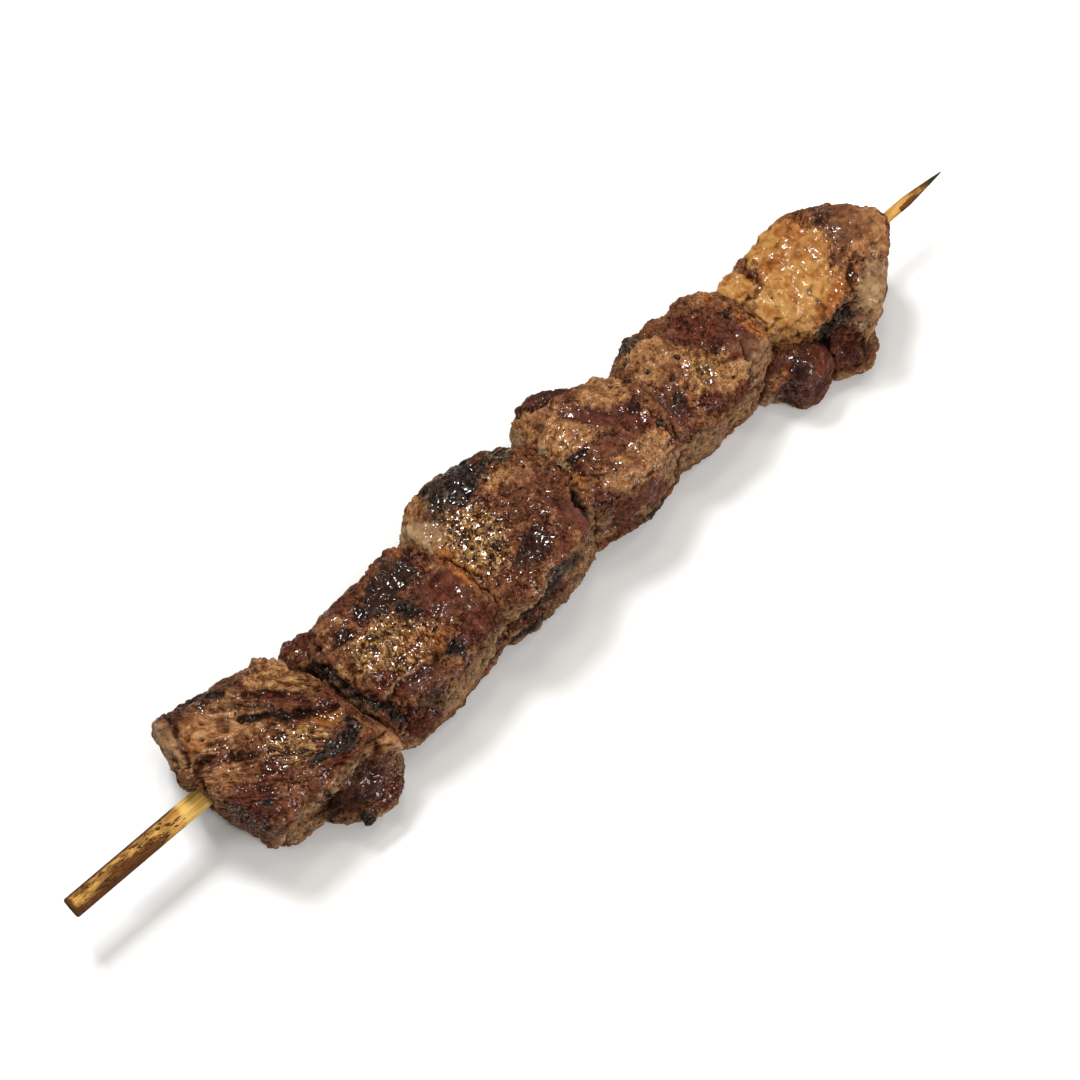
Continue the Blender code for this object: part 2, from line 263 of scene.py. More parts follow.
LOOKS["chunk_3"] = dict(
    seed=13, slot="browned_lamb", grain=(60, 0), fibrous=0.3, granular=1, apart=(),
    marks=dict(
        pale=[(0.55, -21.6, 9.8, 4.2, 4, 10)],
        grey=[(1, -21.4, 9.9, 4.8, 4.4, 10), (0.8, 0, -15.9, 5, 1.6, 10)],
        smooth=[(0.4, -21.4, 9.9, 4.4, 4.2, 10), (0.6, -5.5, -7.5, 4.4, 3.2, 10),
                (0.6, 5.7, -6.9, 2.6, 4.4)],
        wet=[(0.6, -21.4, 9.9, 4.2, 4, 10), (1, -8.5, 13.6, 9, 4), (1, -11.8, -10.9, 3, 3.4),
             (1, -1, -7.4, 3.4, 2.4), (1, -13, 2.1, 8, 9)],
        tan=[(0.9, -18.5, 15.5, 4.5, 3, 20), (0.7, 1.5, 8.1, 6.5, 3, -20), (0.45, -15, -8.9, 5, 2.6, 10),
             (0.5, -23, -9.9, 2.5, 4)],
        char=[(1, -8, 13.9, 8.8, 3.9), (0.95, 3.2, 13.9, 3.4, 2, -35), (0.9, -21, -20.5, 8, 1.8)],
        red=[(0.5, -4, 15.1, 5, 2.4), (0.7, -14, -9.9, 4.8, 3.6, 10), (0.6, 1.5, -10.4, 4, 2),
             (0.9, -12, -17.3, 8, 1.4, 2)],
        gold=[(1, -13.2, 2.9, 6.4, 8, 10)],
        dark=[(0.4, -9, 0.6, 2.6, 2.6), (0.5, 6, -1.3, 2, 2), (1, -5.5, -7.3, 4.6, 3.4, 10)],
        mauve=[(0.55, 2, 2.1, 6.5, 6), (1, 5.7, -6.9, 2.8, 4.6)],
        rim=[(0.8, -19.5, 2.1, 1.4, 6, 8)],
    ),
    swells=[(0.5, -13, 3.1, 7, 7), (1, 1.2, -19.3, 1.2, 1.4), (-0.4, -5.5, -7.5, 4.4, 3, 10),
            (0.3, -21.6, 9.7, 3, 3)],
    lines=[
        ("ledge", 1.5, 0.7, [(-22, -15.2), (-13.7, -16), (-9.9, -14.8), (-5.3, -12.9), (-0.3, -13.5),
                             (3, -11.8), (6.5, -10.5)]),
        ("groove", 0.9, 0.7, [(-20.5, 3.6), (-20, 0.1), (-18.6, -3.9)]),
        ("ledge", 0.8, 0.7, [(-28, -18.5), (-18, -19.4), (-8, -18.8), (0, -17.5)]),
        ("groove", 2.2, 1, [(10.2, -1.5), (9.2, -5), (8, -9), (7.2, -12.5)]),
    ],
    strokes=dict(
        pale=[(1, 0.5, [(-20, -15.5), (-13.7, -15.9), (-9.9, -14.7), (-5.3, -12.6)]),
              (1, 0.45, [(-5.3, -13.6), (-0.3, -13.4), (3, -11.7), (6, -10.7)]),
              (0.6, 0.3, [(1.5, 14.9), (4, 12.9), (6, 11.9)])],
        char=[(1, 0.9, [(-17, -17.1), (-11, -17.7), (-5, -15.3), (0, -15.3)]),
              # This char stroke, along the gap to chunk_4, is painted shade.
              (1, 1.1, [(10.2, -2.5), (9.2, -5), (8, -9), (7.2, -12)]),
              (1, 0.7, [(-14, 17.5), (-5, 17.7), (1, 16.5), (6.5, 13.5)])],
    ),
    pepper=[(-15, 1.3, 0.6, 0), (-13.2, -3.1, 0.75, 50), (-11.4, -1.5, 0.7, 50), (-14, 8.1, 0.7, 20),
            (-15.8, 6.9, 0.6, 70), (5.6, 7.7, 0.5, 10), (8.2, 5.9, 0.6, 80), (-6.6, -0.3, 0.4, 0),
            (-12.2, 7.7, 0.5, 0), (1.4, 4.5, 0.5, 0), (-1.2, 3.3, 0.35, 0)],
    strands=[(0.1, 0.1, [(1, 13.6), (3, 14.4), (5, 13.9)])],
)
LOOKS["chunk_4"] = dict(
    seed=14, slot="browned_lamb", grain=(-35, 0), fibrous=0.4, granular=0.6, apart=(),
    marks=dict(
        mauve=[(1, 20, 16.5, 7.5, 1.9, -14), (1, 24, 6.5, 6.6, 1.9, -44), (1, 29.3, 1.5, 5, 2.8, -50),
               (0.6, 23.5, -0.3, 4.4, 3), (1, 21.6, -14.3, 3.4, 2.6)],
        dark=[(0.7, 21, 16.3, 4.5, 1, -16), (1, 32.2, 2.1, 1.7, 1.5), (1, 16, 1.8, 2.5, 1.2)],
        rim=[(0.4, 11.4, 14.5, 1.6, 2), (0.8, 11.6, -3.3, 1.4, 1.5)],
        tan=[(0.95, 14, 13.6, 6, 3.2, -10), (1, 17.5, 7.5, 6.5, 4.6, -10), (1, 29, 8.7, 6, 4, -35),
             (0.95, 22, -7.9, 8.5, 4, -4), (0.9, 30, -7.4, 4, 3.4, 30)],
        grey=[(1, 8.6, 11.1, 1.5, 3.6, -20), (1, 28, -13.3, 4.4, 1.6, 25)],
        pale=[(0.7, 8, 12.6, 0.8, 2.6, -25), (1, 31, 12.1, 2.6, 1.2, -25), (1, 10.6, 7.1, 1, 1.1),
              (0.7, 11.4, 2.7, 1.1, 1.5)],
        smooth=[(0.6, 31, 12.1, 2.6, 1.2, -25), (0.35, 26.5, 4.1, 8, 2.4, -44),
                (0.5, 21.6, -14.3, 3.2, 2.5)],
        red=[(0.8, 31.2, -1.9, 2, 2), (0.8, 13.8, -14.5, 4.2, 4), (0.9, 13, -8.4, 2.2, 4, 10),
             (0.8, 33.6, -9.9, 1.8, 1.8)],
        wet=[(0.9, 16, 0.1, 4, 3), (1, 13, -8.4, 2, 4, 10), (0.8, 24, -7.9, 9, 4), (0.4, 20, 8.1, 9, 5)],
        char=[(1, 19.6, -17.9, 3.6, 1.1), (1, 33.5, -4.1, 1.1, 0.8)],
    ),
    swells=[(0.5, 11.6, 17.3, 3, 3), (1, 19.5, 17.5, 5.5, 2.4, -12), (1.6, 32.2, 11.5, 3, 2.2, -35),
            (0.8, 11.6, -3.3, 1.8, 1.9), (0.5, 21.6, -14.3, 4, 3), (0.4, 17.5, 7.5, 6, 4),
            (0.4, 29, 9.1, 5, 3, -35), (-0.35, 26.5, 4.1, 8, 2, -44)],
    lines=[
        ("groove", 0.4, 0.5, [(18.8, -11.5), (21.6, -10.8), (24.6, -11.5)]),
        ("ledge", 0.7, 0.7, [(34.5, -14), (33.5, -8), (34, -2)]),
        ("ledge", 0.7, 0.7, [(27, 13.7), (20, 14.7), (13, 16.1)]),
        ("groove", 2.2, 1, [(10.2, -1.5), (9.2, -5), (8, -9), (7.2, -12.5)]),
    ],
    strokes=dict(
        char=[(0.9, 0.5, [(11, 18.1), (17, 18.7), (23, 17.7), (27.5, 14.7)]),
              # This char stroke, along the gap to chunk_3, is painted shade.
              (1, 1.1, [(10.2, -2.5), (9.2, -5), (8, -9), (7.2, -12)])],
        pale=[(0.7, 0.25, [(18.6, -11.1), (21.4, -10.4), (24.4, -11.1)]),
              (0.7, 0.35, [(7.2, 10.1), (8.6, 13.1), (10, 15.5)])],
        dark=[(0.8, 0.5, [(14.8, -3.9), (17, -5.2), (19.5, -5.8)])],
    ),
    pepper=[(17.4, 7.7, 0.3, 0), (33.4, -4.3, 0.9, 0), (22, 2.1, 0.3, 0), (25, -2.9, 0.35, 40),
            (32.8, 1.7, 0.6, 60), (19.4, -6.1, 0.4, 0)],
    strands=[(0.2, 0.15, [(9.9, 7.7), (10.8, 6.9), (11, 5.9)]),
             (0.16, 0.12, [(10.8, 3.7), (11.6, 2.9), (11.2, 1.7)])],
)
LOOKS["chunk_5"] = dict(
    seed=15, slot="browned_lamb", grain=(-40, 0), fibrous=0.3, granular=0.6, apart=(),
    marks=dict(
        # The second char oval, at the gap to chunk_6, is painted shade.
        char=[(0.9, 42, 13.7, 3.4, 1.6, -8), (1, 65, -9.5, 0.8, 2)],
        wet=[(1, 41, 14.5, 3.4, 2.4, -8), (1, 49, -1.4, 3, 3.4), (0.7, 39, -2.9, 4, 4)],
        mauve=[(0.9, 48.5, 12.1, 3.5, 1.6, -25), (1, 55.2, 5.7, 8.6, 3.9, -42), (0.7, 60.4, -0.9, 3, 4, 20),
               (0.8, 38, -2.9, 4, 5, -30), (0.5, 59.5, -3.4, 4, 3, -30)],
        tan=[(1, 43.5, 6.1, 7, 6, -20), (1, 50.5, -4.4, 6, 5, -30), (0.5, 60.5, 11.4, 2.8, 2)],
        gold=[(0.6, 49.5, -1.9, 4, 4)],
        red=[(0.75, 54, 7.1, 6.5, 2.8, -42), (0.9, 56.2, -4.5, 1.5, 1.2), (0.95, 45.3, -8.4, 2.6, 2.8, -30),
             (0.95, 52, -10.5, 4, 1.6, 8)],
        rim=[(1, 61.8, 9.5, 1.3, 1.3), (0.8, 64.1, -0.4, 1.2, 5.5)],
        dark=[(0.5, 39.6, -3.5, 2.4, 2.6, -30), (0.6, 60, -5.5, 1, 1)],
        grey=[(0.85, 60.2, -6.5, 4.6, 5, -20), (0.9, 54, -10.7, 5, 1.8, 25), (1, 42, -13.8, 11, 1.5, 2)],
        smooth=[(0.6, 60.2, -6.5, 4.4, 4.8, -20)],
    ),
    swells=[(-3, 50, 14.1, 2.6, 2.6), (-3.4, 46.8, 14.9, 3, 2.4), (1.4, 58, 13.1, 3.6, 2, -8),
            (1, 41, 14.7, 2.4, 1.6), (0.3, 43, 5.1, 7, 6), (-0.4, 55, 6.1, 8, 3.4, -42)],
    lines=[
        ("ledge", 0.9, 0.8, [(34, -12.5), (44, -12.7), (50, -12.1), (54.4, -9.7), (57.6, -7.1),
                             (58.4, -2.5)]),
    ],
    strokes=dict(
        dark=[(0.8, 0.6, [(36.2, 7.1), (36, 3.1), (36.4, -0.5)])],
    ),
    pepper=[(40.2, 6.1, 0.65, 30), (46.8, 4.3, 0.8, -60), (42.8, 1.3, 0.8, 35), (40.2, -2.7, 1.1, 25),
            (62, 4.9, 0.9, 35), (57.2, 11.9, 0.5, 0), (48.4, -2.1, 0.4, 0), (52.6, -7.3, 0.5, 20)],
    strands=[],
)
LOOKS["trimming"] = dict(
    seed=16, slot="dark_lamb", grain=(20, 0), fibrous=0.4, granular=0.45, apart=(),
    marks=dict(
        mauve=[(1, 65, -17.9, 9, 8)],
        red=[(0.7, 65, -16.4, 5, 4.5), (0.9, 69.5, -15.4, 2, 2.4)],
        dark=[(0.8, 65, -15.4, 3, 2.6), (0.5, 66, -20.9, 3, 1.6)],
        grey=[(0.9, 56.5, -15.9, 3.6, 2.6, -35)],
        tan=[(0.6, 59, -15.3, 3.4, 2.6, -30), (0.4, 70, -17.9, 1.6, 2)],
        rim=[(0.7, 60, -14.5, 2.4, 1.8)],
        wet=[(1, 63.5, -14.4, 5, 3)],
        smooth=[(0.3, 64.5, -17.9, 9, 7)],
    ),
    swells=[(0.6, 64.5, -15.9, 3.6, 2.8), (-0.3, 58, -17.9, 2, 2)],
    lines=[],
    strokes={},
    pepper=[],
    strands=[],
)
LOOKS["chunk_6"] = dict(
    seed=17, slot="golden_fat", grain=(36, 0), fibrous=0.45, granular=0.2, apart=(),
    marks=dict(
        fat=[(1, 67.4, 7.7, 4.6, 4.4), (1, 76, -1.9, 11, 9.5, -5), (0.9, 80, 11.1, 7, 3.4, 5),
             (0.9, 84.5, 5.1, 7, 6)],
        rim=[(0.85, 77, 6.6, 5.2, 1.5, 3), (0.7, 87, 9.7, 3.6, 3), (0.45, 87, 3.5, 5, 2.6, -35),
             (1, 82.5, -8.1, 7.5, 2.2, 12), (0.6, 70.5, 6.1, 0.8, 3, -30)],
        dark=[(0.7, 87.5, -7.3, 3, 0.8, 20), (0.8, 93.4, 7.5, 2, 2.2), (0.6, 77, -20.9, 3.5, 3)],
        tan=[(0.9, 98, 0.1, 6, 7)],
        mauve=[(0.75, 93.4, 2.7, 2.2, 4, 20), (0.6, 98, 5.6, 4, 2.4, -45), (0.45, 98, 1.1, 4.5, 4, 20),
               (0.9, 74, -17.9, 6, 5)],
        pale=[(0.55, 91, -11.9, 5.5, 3.4, 38)],
        grey=[(1, 90, -11.9, 8, 3.6, 36), (0.9, 82, -19.4, 3, 2.4, 35)],
        smooth=[(0.55, 98, 0.1, 7, 8), (0.6, 90, -11.9, 8, 4, 36)],
        char=[(0.9, 78, -13.5, 8, 1.6, 6), (0.8, 74, -12.9, 4, 1.5)],
        red=[(0.8, 75, -17.9, 5, 4.5)],
        wet=[(0.6, 77, -0.9, 13, 10), (1, 87, 3.5, 5.5, 3.4, -30), (1, 71.5, -8.4, 3, 1.6),
             (1, 77, -4.4, 3.2, 1.8, 20)],
    ),
    swells=[(-0.8, 79.5, -13.3, 8.5, 2.2, 6), (1.6, 66, 10.3, 2.8, 2.6), (-2.4, 72.4, 11.5, 1.6, 2),
            (0.6, 67.4, 7.5, 4, 3.4), (-1, 71.8, 9.5, 1.2, 3.4, 10), (0.4, 81, 3.1, 8, 6),
            (-1.6, 86, -22.9, 7, 3.5)],
    lines=[
        ("ledge", 1, 0.9, [(68, -11), (76, -11.6), (84, -9.8), (89, -5.5)]),
        ("ledge", 0.7, 0.5, [(74, 6.5), (72.5, 4), (69, 3.2), (65, 3.4)]),
        ("groove", 0.35, 0.4, [(66.5, 3.1), (66.3, -0.9), (66.5, -3.9)]),
        ("groove", 0.3, 0.35, [(66, -4.1), (69, -3.9), (71.5, -4.7)]),
        ("groove", 0.35, 0.4, [(78.6, -3.9), (79, -6.4), (78.4, -8.9)]),
    ],
    strokes=dict(
        pale=[(0.9, 0.5, [(86, -14.4), (90, -11.1), (94, -6.9)]),
              (0.8, 0.4, [(84.5, -16.4), (89, -13.5), (93.5, -9.3)])],
        rim=[(0.6, 0.5, [(66.4, 2.7), (66.2, -0.9), (66.4, -4.1)])],
        dark=[(0.6, 0.4, [(79, -3.3), (80.6, -3.1)])],
        char=[(0.8, 0.5, [(82, 13.7), (85, 14.1)])],
    ),
    pepper=[(76.6, 2.7, 0.25, 0), (72.2, 0.9, 0.3, 60), (80.6, -0.3, 0.25, 0), (67.2, 5.5, 0.22, 0),
            (94.6, -4.7, 0.25, 0)],
    strands=[],
)

# Patches strewn over the crust that faces the eye: stain, size, where its noise is read, strength, how rare.
SCATTERED = (
    ("red", 5.0, 101.0, 0.5, 0.35), ("dark", 3.2, 131.0, 0.5, 0.45), ("tan", 4.0, 151.0, 0.5, 0.35),
    ("mauve", 6.0, 171.0, 0.4, 0.35), ("char", 2.2, 211.0, 0.5, 0.60),
)
# Patches on the sides that face away from it: stain, size, where its noise is read, octaves, strength, and
# the noise's value where they begin and where they are full.
TURNED_AWAY = (
    ("tan", 8, 5, 4, 0.65, -0.1, 0.5), ("red", 9, 9, 4, 0.55, -0.1, 0.4),
    ("mauve", 10, 14, 3, 0.65, -0.1, 0.4), ("char", 6, 31, 4, 1.0, 0.4, 0.8),
)
STAINS = ("char", "gold", "tan", "red", "grey", "mauve", "pale", "fat", "rim", "wet", "dark", "smooth")


# ---------------------------------------- meshes
@cache
def tree_of(node):
    """A search tree of a node's surface."""
    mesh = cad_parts[node].data
    mesh.calc_loop_triangles()
    faces = np.empty(len(mesh.loop_triangles) * 3, np.int32)
    mesh.loop_triangles.foreach_get("vertices", faces)
    return BVHTree.FromPolygons(places_of(mesh).tolist(), faces.reshape(-1, 3).tolist())


def remeshed(mesh, voxel, rounds):
    """The same form in an even mesh of the given fineness, smoothed over some rounds."""
    source = bpy.data.objects.new("source", mesh)
    bpy.context.scene.collection.objects.link(source)
    remesh = source.modifiers.new("remesh", "REMESH")
    remesh.mode = "VOXEL"
    remesh.voxel_size = voxel * MM
    smooth = source.modifiers.new("smooth", "SMOOTH")
    smooth.factor = 0.6
    smooth.iterations = rounds
    depsgraph = bpy.context.evaluated_depsgraph_get()
    even = bpy.data.meshes.new_from_object(source.evaluated_get(depsgraph))
    bpy.data.objects.remove(source)
    bpy.data.meshes.remove(mesh)
    return even


def places_of(mesh):
    co = np.empty(len(mesh.vertices) * 3, np.float32)
    mesh.vertices.foreach_get("co", co)
    return co.reshape(-1, 3).astype(float) / MM


def set_places(mesh, places):
    mesh.vertices.foreach_set("co", (places * MM).astype(np.float32).ravel())
    mesh.update()


def edges_of(mesh):
    ends = np.empty(len(mesh.edges) * 2, np.int32)
    mesh.edges.foreach_get("vertices", ends)
    return ends.reshape(-1, 2)


def evened(values, ends, rounds):
    """Values averaged with their neighbours' along the edges again and again."""
    first, second = ends.T
    count = len(values)
    shares = np.bincount(first, minlength=count) + np.bincount(second, minlength=count)
    for _ in range(rounds):
        total = np.bincount(first, values[second], count) + np.bincount(second, values[first], count)
        values = 0.4 * values + 0.6 * total / shares
    return values


def evened_rows(rows, ends, rounds):
    """Places or moves, evened in x, y and z."""
    return np.stack([evened(rows[:, axis], ends, rounds) for axis in range(3)], axis=-1)


def leaning_mesh(node, apart):
    """A fine even mesh of a node that leans on its neighbours, so that little air is left in between."""
    mesh = remeshed(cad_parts[node].data.copy(), COARSE, COARSE_ROUNDS)
    places = places_of(mesh)
    air = np.full(len(places), LEANING)
    way = np.zeros((len(places), 3))
    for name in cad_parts:
        if name in (node, "stick") or name in apart:
            continue
        low, high = (np.array(corner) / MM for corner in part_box(name))
        near = ((places > low - LEANING) & (places < high + LEANING)).all(axis=1)
        for i in np.flatnonzero(near):
            spot, _, _, distance = tree_of(name).find_nearest(places[i])
            if distance < air[i]:
                air[i] = distance
                way[i] = spot - Vector(places[i])
    move = way * (LEAN_SHARE * ramp(LEANING - air, 0.0, 4.0))[:, None]
    set_places(mesh, places + evened_rows(move, edges_of(mesh), 3))
    return remeshed(mesh, FINE, FINE_ROUNDS)


def stained_object(name, mesh, material, stains):
    """An object in the scene, its stains written as named values on its mesh's points."""
    for kind, value in stains.items():
        layer = mesh.attributes.new(kind, "FLOAT", "POINT")
        layer.data.foreach_set("value", value.astype(np.float32))
    mesh.materials.append(material)
    mesh.shade_smooth()
    piece = bpy.data.objects.new(name, mesh)
    bpy.context.scene.collection.objects.link(piece)
    return piece


# ---------------------------------------- meat
class Meat:
    """One chunk's fine mesh, with its places and facings, which the steps below press, swell and stain."""

    def __init__(self, node, look):
        self.node, self.look = node, look
        self.grain = Grain(look["seed"])
        self.mesh = leaning_mesh(node, look["apart"])
        self.places = places_of(self.mesh)
        self.ends = edges_of(self.mesh)
        self.room = self.room_around()
        self.swell = np.zeros(len(self.places))
        self.refresh()
        self.upright = self.facing[:, 2].copy()
        self.plan = self.seen(self.places)
        toward = EYE - [self.plan[:, 0].mean(), self.plan[:, 1].mean(), AXIS[2]]
        self.lit = ramp(self.facing @ (toward / np.linalg.norm(toward)), -0.1, 0.2)
        self.wobble = self.grain.rough(self.places, 2.0, 3.1, 4, 0.65)
        drift = [self.grain.rough(self.places, 3.5, shift, 3, 0.6) for shift in (21.0, 47.0)]
        self.wandering = self.plan + WANDER * np.stack(drift, axis=-1)
        self.stains = {kind: np.zeros(len(self.places)) for kind in STAINS}
        self.extras = []

    def refresh(self):
        """Writes the places into the mesh and reads the facings back."""
        set_places(self.mesh, self.places)
        facing = np.empty(len(self.places) * 3, np.float32)
        self.mesh.vertex_normals.foreach_get("vector", facing)
        self.facing = facing.reshape(-1, 3).astype(float)

    def seen(self, places):
        """Where each place's line of sight passes LEVEL, from the stick's middle."""
        from_axis = places - [AXIS[0], AXIS[1], 0]
        slant = (EYE[:2] - from_axis[:, :2]) / (EYE[2] - from_axis[:, 2:])
        return from_axis[:, :2] + (LEVEL - from_axis[:, 2:]) * slant

    def room_around(self):
        """How far each place may move out: nearly half-way to a neighbour it stays apart from, and hardly
        out of the kebab's box."""
        outside = np.array(CAD_BOX[1]) / MM + OVERSIZE - self.places
        inside = self.places - np.array(CAD_BOX[0]) / MM + OVERSIZE
        room = np.minimum(outside, inside).min(axis=1).clip(0.0, ROOM)
        for name in self.look["apart"]:
            away = np.array([tree_of(name).find_nearest(place)[3] for place in self.places])
            room = np.minimum(room, away * APART_SHARE)
        return room

    def cavity(self, rounds):
        """How far each place stands out of the evened surface; a hollow is negative."""
        return ((self.places - evened_rows(self.places, self.ends, rounds)) * self.facing).sum(axis=1)

    def push(self, amount):
        """Moves every place out along its facing, held back near neighbours, and rests the underside at 0."""
        amount = np.minimum(amount, np.maximum(self.room - self.swell, -PULL_IN))
        self.swell += amount
        self.places += self.facing * amount[:, None]
        self.places[:, 2] = np.maximum(self.places[:, 2], 0.0)
        self.refresh()

    def oval(self, x, y, along, across, turn=0, ragged=0.35, soft=0.3):
        """A ragged oval, 1 inside and 0 outside: its middle, half length, half width and turn in degrees."""
        angle = math.radians(turn)
        dx, dy = self.wandering[:, 0] - x, self.wandering[:, 1] - y
        u = (dx * math.cos(angle) + dy * math.sin(angle)) / along
        v = (dy * math.cos(angle) - dx * math.sin(angle)) / across
        return (1 - ramp(np.hypot(u, v) + ragged * self.wobble, 1 - soft, 1 + soft)) * self.lit

    def beside(self, points):
        """How far each place is from a line of points, positive on the left of its way."""
        points = np.array(points, float)
        least = np.full(len(self.places), 99.0)
        side = np.ones(len(self.places))
        for start, end in zip(points, points[1:]):
            run = end - start
            away = self.wandering - start
            share = np.clip((away @ run) / (run @ run), 0.0, 1.0)
            distance = np.linalg.norm(away - share[:, None] * run, axis=1)
            turn = run[0] * away[:, 1] - run[1] * away[:, 0]
            side = np.where(distance < least, np.where(turn > 0, 1.0, -1.0), side)
            least = np.minimum(least, distance)
        return least * side

    def stroke(self, points, width, ragged=0.5):
        """A mark along a line of points, 1 on the line and fading out at the width."""
        away = np.maximum(np.abs(self.beside(points)) + ragged * width * self.wobble, 0)
        return bell(away, width) * self.lit

    def stain(self, kind, value):
        """Lays a mark over what the chunk already has of that kind."""
        self.stains[kind] = np.maximum(self.stains[kind], value)

    def on_top(self, x, y):
        """The place and facing of the meat seen at a plan place; what is turned away or low counts as far."""
        away = np.hypot(self.plan[:, 0] - x, self.plan[:, 1] - y) + 9 * (1 - self.lit)
        i = int(np.argmin(away - 0.02 * self.places[:, 2]))
        return self.places[i], self.facing[i]

    def add(self, places, faces, stains):
        """Lays a small extra form beside the meat, all stained alike."""
        self.extras.append((np.array(places), faces, stains))

    def joined(self):
        """One mesh of the meat and its extras; the meat's stains grow to cover the extras too."""
        corners = np.empty(len(self.mesh.loops), np.int32)
        self.mesh.loops.foreach_get("vertex_index", corners)
        totals = np.empty(len(self.mesh.polygons), np.int32)
        self.mesh.polygons.foreach_get("loop_total", totals)
        all_places, all_corners, all_totals = [self.places], [corners], [totals]
        count = len(self.places)
        for places, faces, stains in self.extras:
            all_places.append(places)
            all_corners.append(np.array([count + corner for face in faces for corner in face], np.int32))
            all_totals.append(np.array([len(face) for face in faces], np.int32))
            count += len(places)
            for kind, value in self.stains.items():
                self.stains[kind] = np.append(value, np.full(len(places), stains.get(kind, 0.0)))
        corners, totals = np.concatenate(all_corners), np.concatenate(all_totals)
        mesh = bpy.data.meshes.new(self.node)
        mesh.vertices.add(count)
        mesh.loops.add(len(corners))
        mesh.polygons.add(len(totals))
        mesh.loops.foreach_set("vertex_index", corners)
        starts = np.concatenate([[0], np.cumsum(totals)[:-1]])
        mesh.polygons.foreach_set("loop_start", starts.astype(np.int32))
        set_places(mesh, np.concatenate(all_places))
        mesh.validate()
        return mesh

    def finish(self, name, material, slot):
        """The chunk as a piece of the kebab."""
        mesh = self.joined()
        piece = stained_object(name, mesh, material, self.stains)
        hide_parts(self.node)
        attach(piece, "root")


def stain_meat(meat):
    """The chunk's own marks, and the same kinds of stain scattered over the sides that they don't reach."""
    look, places, upright = meat.look, meat.places, meat.upright
    rough = meat.grain.rough
    for kind, ovals in look["marks"].items():
        for strength, *oval in ovals:
            meat.stain(kind, strength * meat.oval(*oval))
    for kind, strokes in look["strokes"].items():
        for strength, width, points in strokes:
            meat.stain(kind, strength * meat.stroke(points, width))
    unseen = 1 - meat.lit
    for kind, size, shift, octaves, strength, begins, full in TURNED_AWAY:
        meat.stain(kind, unseen * strength * ramp(rough(places, size, shift, octaves), begins, full))
    meat.stain("gold", unseen * ramp(upright, 0.0, 0.5) * 0.6 * ramp(rough(places, 7, 61), 0.1, 0.6))
    sides = ramp(0.35 - upright, 0, 0.4) * ramp(upright, -0.75, -0.3)
    meat.stain("grey", sides * 0.9 * ramp(rough(places, 9, 2, 3), -0.5, 0.2))
    meat.stain("wet", 0.8 * ramp(rough(places, 5, 41), 0.0, 0.5) * ramp(upright, -0.5, 0.2))
    bare = meat.lit * (1 - meat.stains["fat"]) * (1 - 0.7 * meat.stains["smooth"])
    for kind, size, shift, strength, least in SCATTERED:
        meat.stain(kind, bare * strength * ramp(rough(places, size, shift, 4, 0.6), least, least + 0.3))


def ledge(meat, height, width, points):
    """A step along a line of points, high on its left, fading out to both sides, with painted shade at its
    foot.
    """
    away = meat.beside(points) + 0.6 * width * meat.wobble
    # Painted shade: the foot of the step is stained dark as if shaded.
    meat.stain("dark", bell(away + width, width) * 0.6 * meat.lit)
    profile = (ramp(away, -width, width) - 0.55) * bell(away, 4.5 * width)
    return 1.6 * height * profile * meat.lit


def groove(meat, height, width, points):
    """A cut along a line of points, with painted shade inside."""
    line = meat.stroke(points, width)
    # Painted shade: the inside of the cut is stained dark as if shaded.
    meat.stain("dark", line * 0.5)
    return line * -height


def carve(meat):
    """Coarse swells, hollows, grooves and ledges, then every lump a little stronger."""
    places, rough = meat.places, meat.grain.rough
    form = 0.5 * rough(places, 8, 0, 2) + 0.45 * ridges(rough(places, 6, 19, 2), 0.35)
    form += 0.42 * rough(places, 3.6, 7, 2)
    edges = ramp(0.75 - meat.upright, 0.0, 0.4) * (1 - meat.stains["smooth"])
    form += edges * 0.45 * ridges(rough(places, 2.2, 29, 3, 0.65), 0.4)
    for height, *oval in meat.look["swells"]:
        form += height * meat.oval(*oval, ragged=0.2, soft=0.7)
    for kind, *line in meat.look["lines"]:
        form += ledge(meat, *line) if kind == "ledge" else groove(meat, *line)
    meat.push(form * (1 - 0.4 * meat.stains["fat"]))
    meat.push(0.45 * meat.cavity(50).clip(-1.0, 1.0))


def smoothness(meat):
    """How smooth the meat is: glazed and fat places wholly, mauve ones by half."""
    return np.maximum.reduce([meat.stains["smooth"], meat.stains["fat"], 0.5 * meat.stains["mauve"]])


def raise_fibres(meat):
    """Bundles of threads along the grain; notes how far along and across them each place is."""
    look, places, rough = meat.look, meat.places, meat.grain.rough
    middle = meat.plan.mean(axis=0)
    turn, turning = look["grain"]
    angle = np.radians(turn + turning * (meat.plan[:, 1] - middle[1]) + 8 * rough(places, 14, 3, 2))
    off = places[:, :2] - AXIS[:2] - middle
    along = off[:, 0] * np.cos(angle) + off[:, 1] * np.sin(angle)
    across = off[:, 1] * np.cos(angle) - off[:, 0] * np.sin(angle)
    sway = rough(places, 4, 8, 3)
    bundles = np.stack([along / 6.0, across / 1.9 + 0.5 * sway, places[:, 2] / 2.2], axis=-1)
    bundle = 0.14 * rough(bundles, 1, 0, 2) + 0.18 * ridges(rough(bundles, 1, 9, 2), 0.3)
    threads = np.stack([along / 4.0, across / 1.15 + 0.6 * sway, places[:, 2] / 1.2], axis=-1)
    thread = 1 - 2 * np.abs(rough(threads, 1, 0, 1)).clip(0, 1)
    fibrous = look["fibrous"] * ramp(rough(places, 9, 23, 2), -0.8, 0.1)
    fibrous = np.maximum(fibrous, 0.8 * (1 - meat.lit) * ramp(rough(places, 11, 27, 2), -0.6, 0.0))
    fibrous = np.maximum(fibrous, 0.8 * meat.stains["grey"]) * (1 - 0.85 * smoothness(meat))
    fibrous = fibrous * (1 - 0.6 * meat.stains["char"])
    meat.stains |= {"along": along, "across": across + 0.5 * sway, "fibre": fibrous}
    meat.push(fibrous * (bundle + 0.11 * (thread - 0.3)))


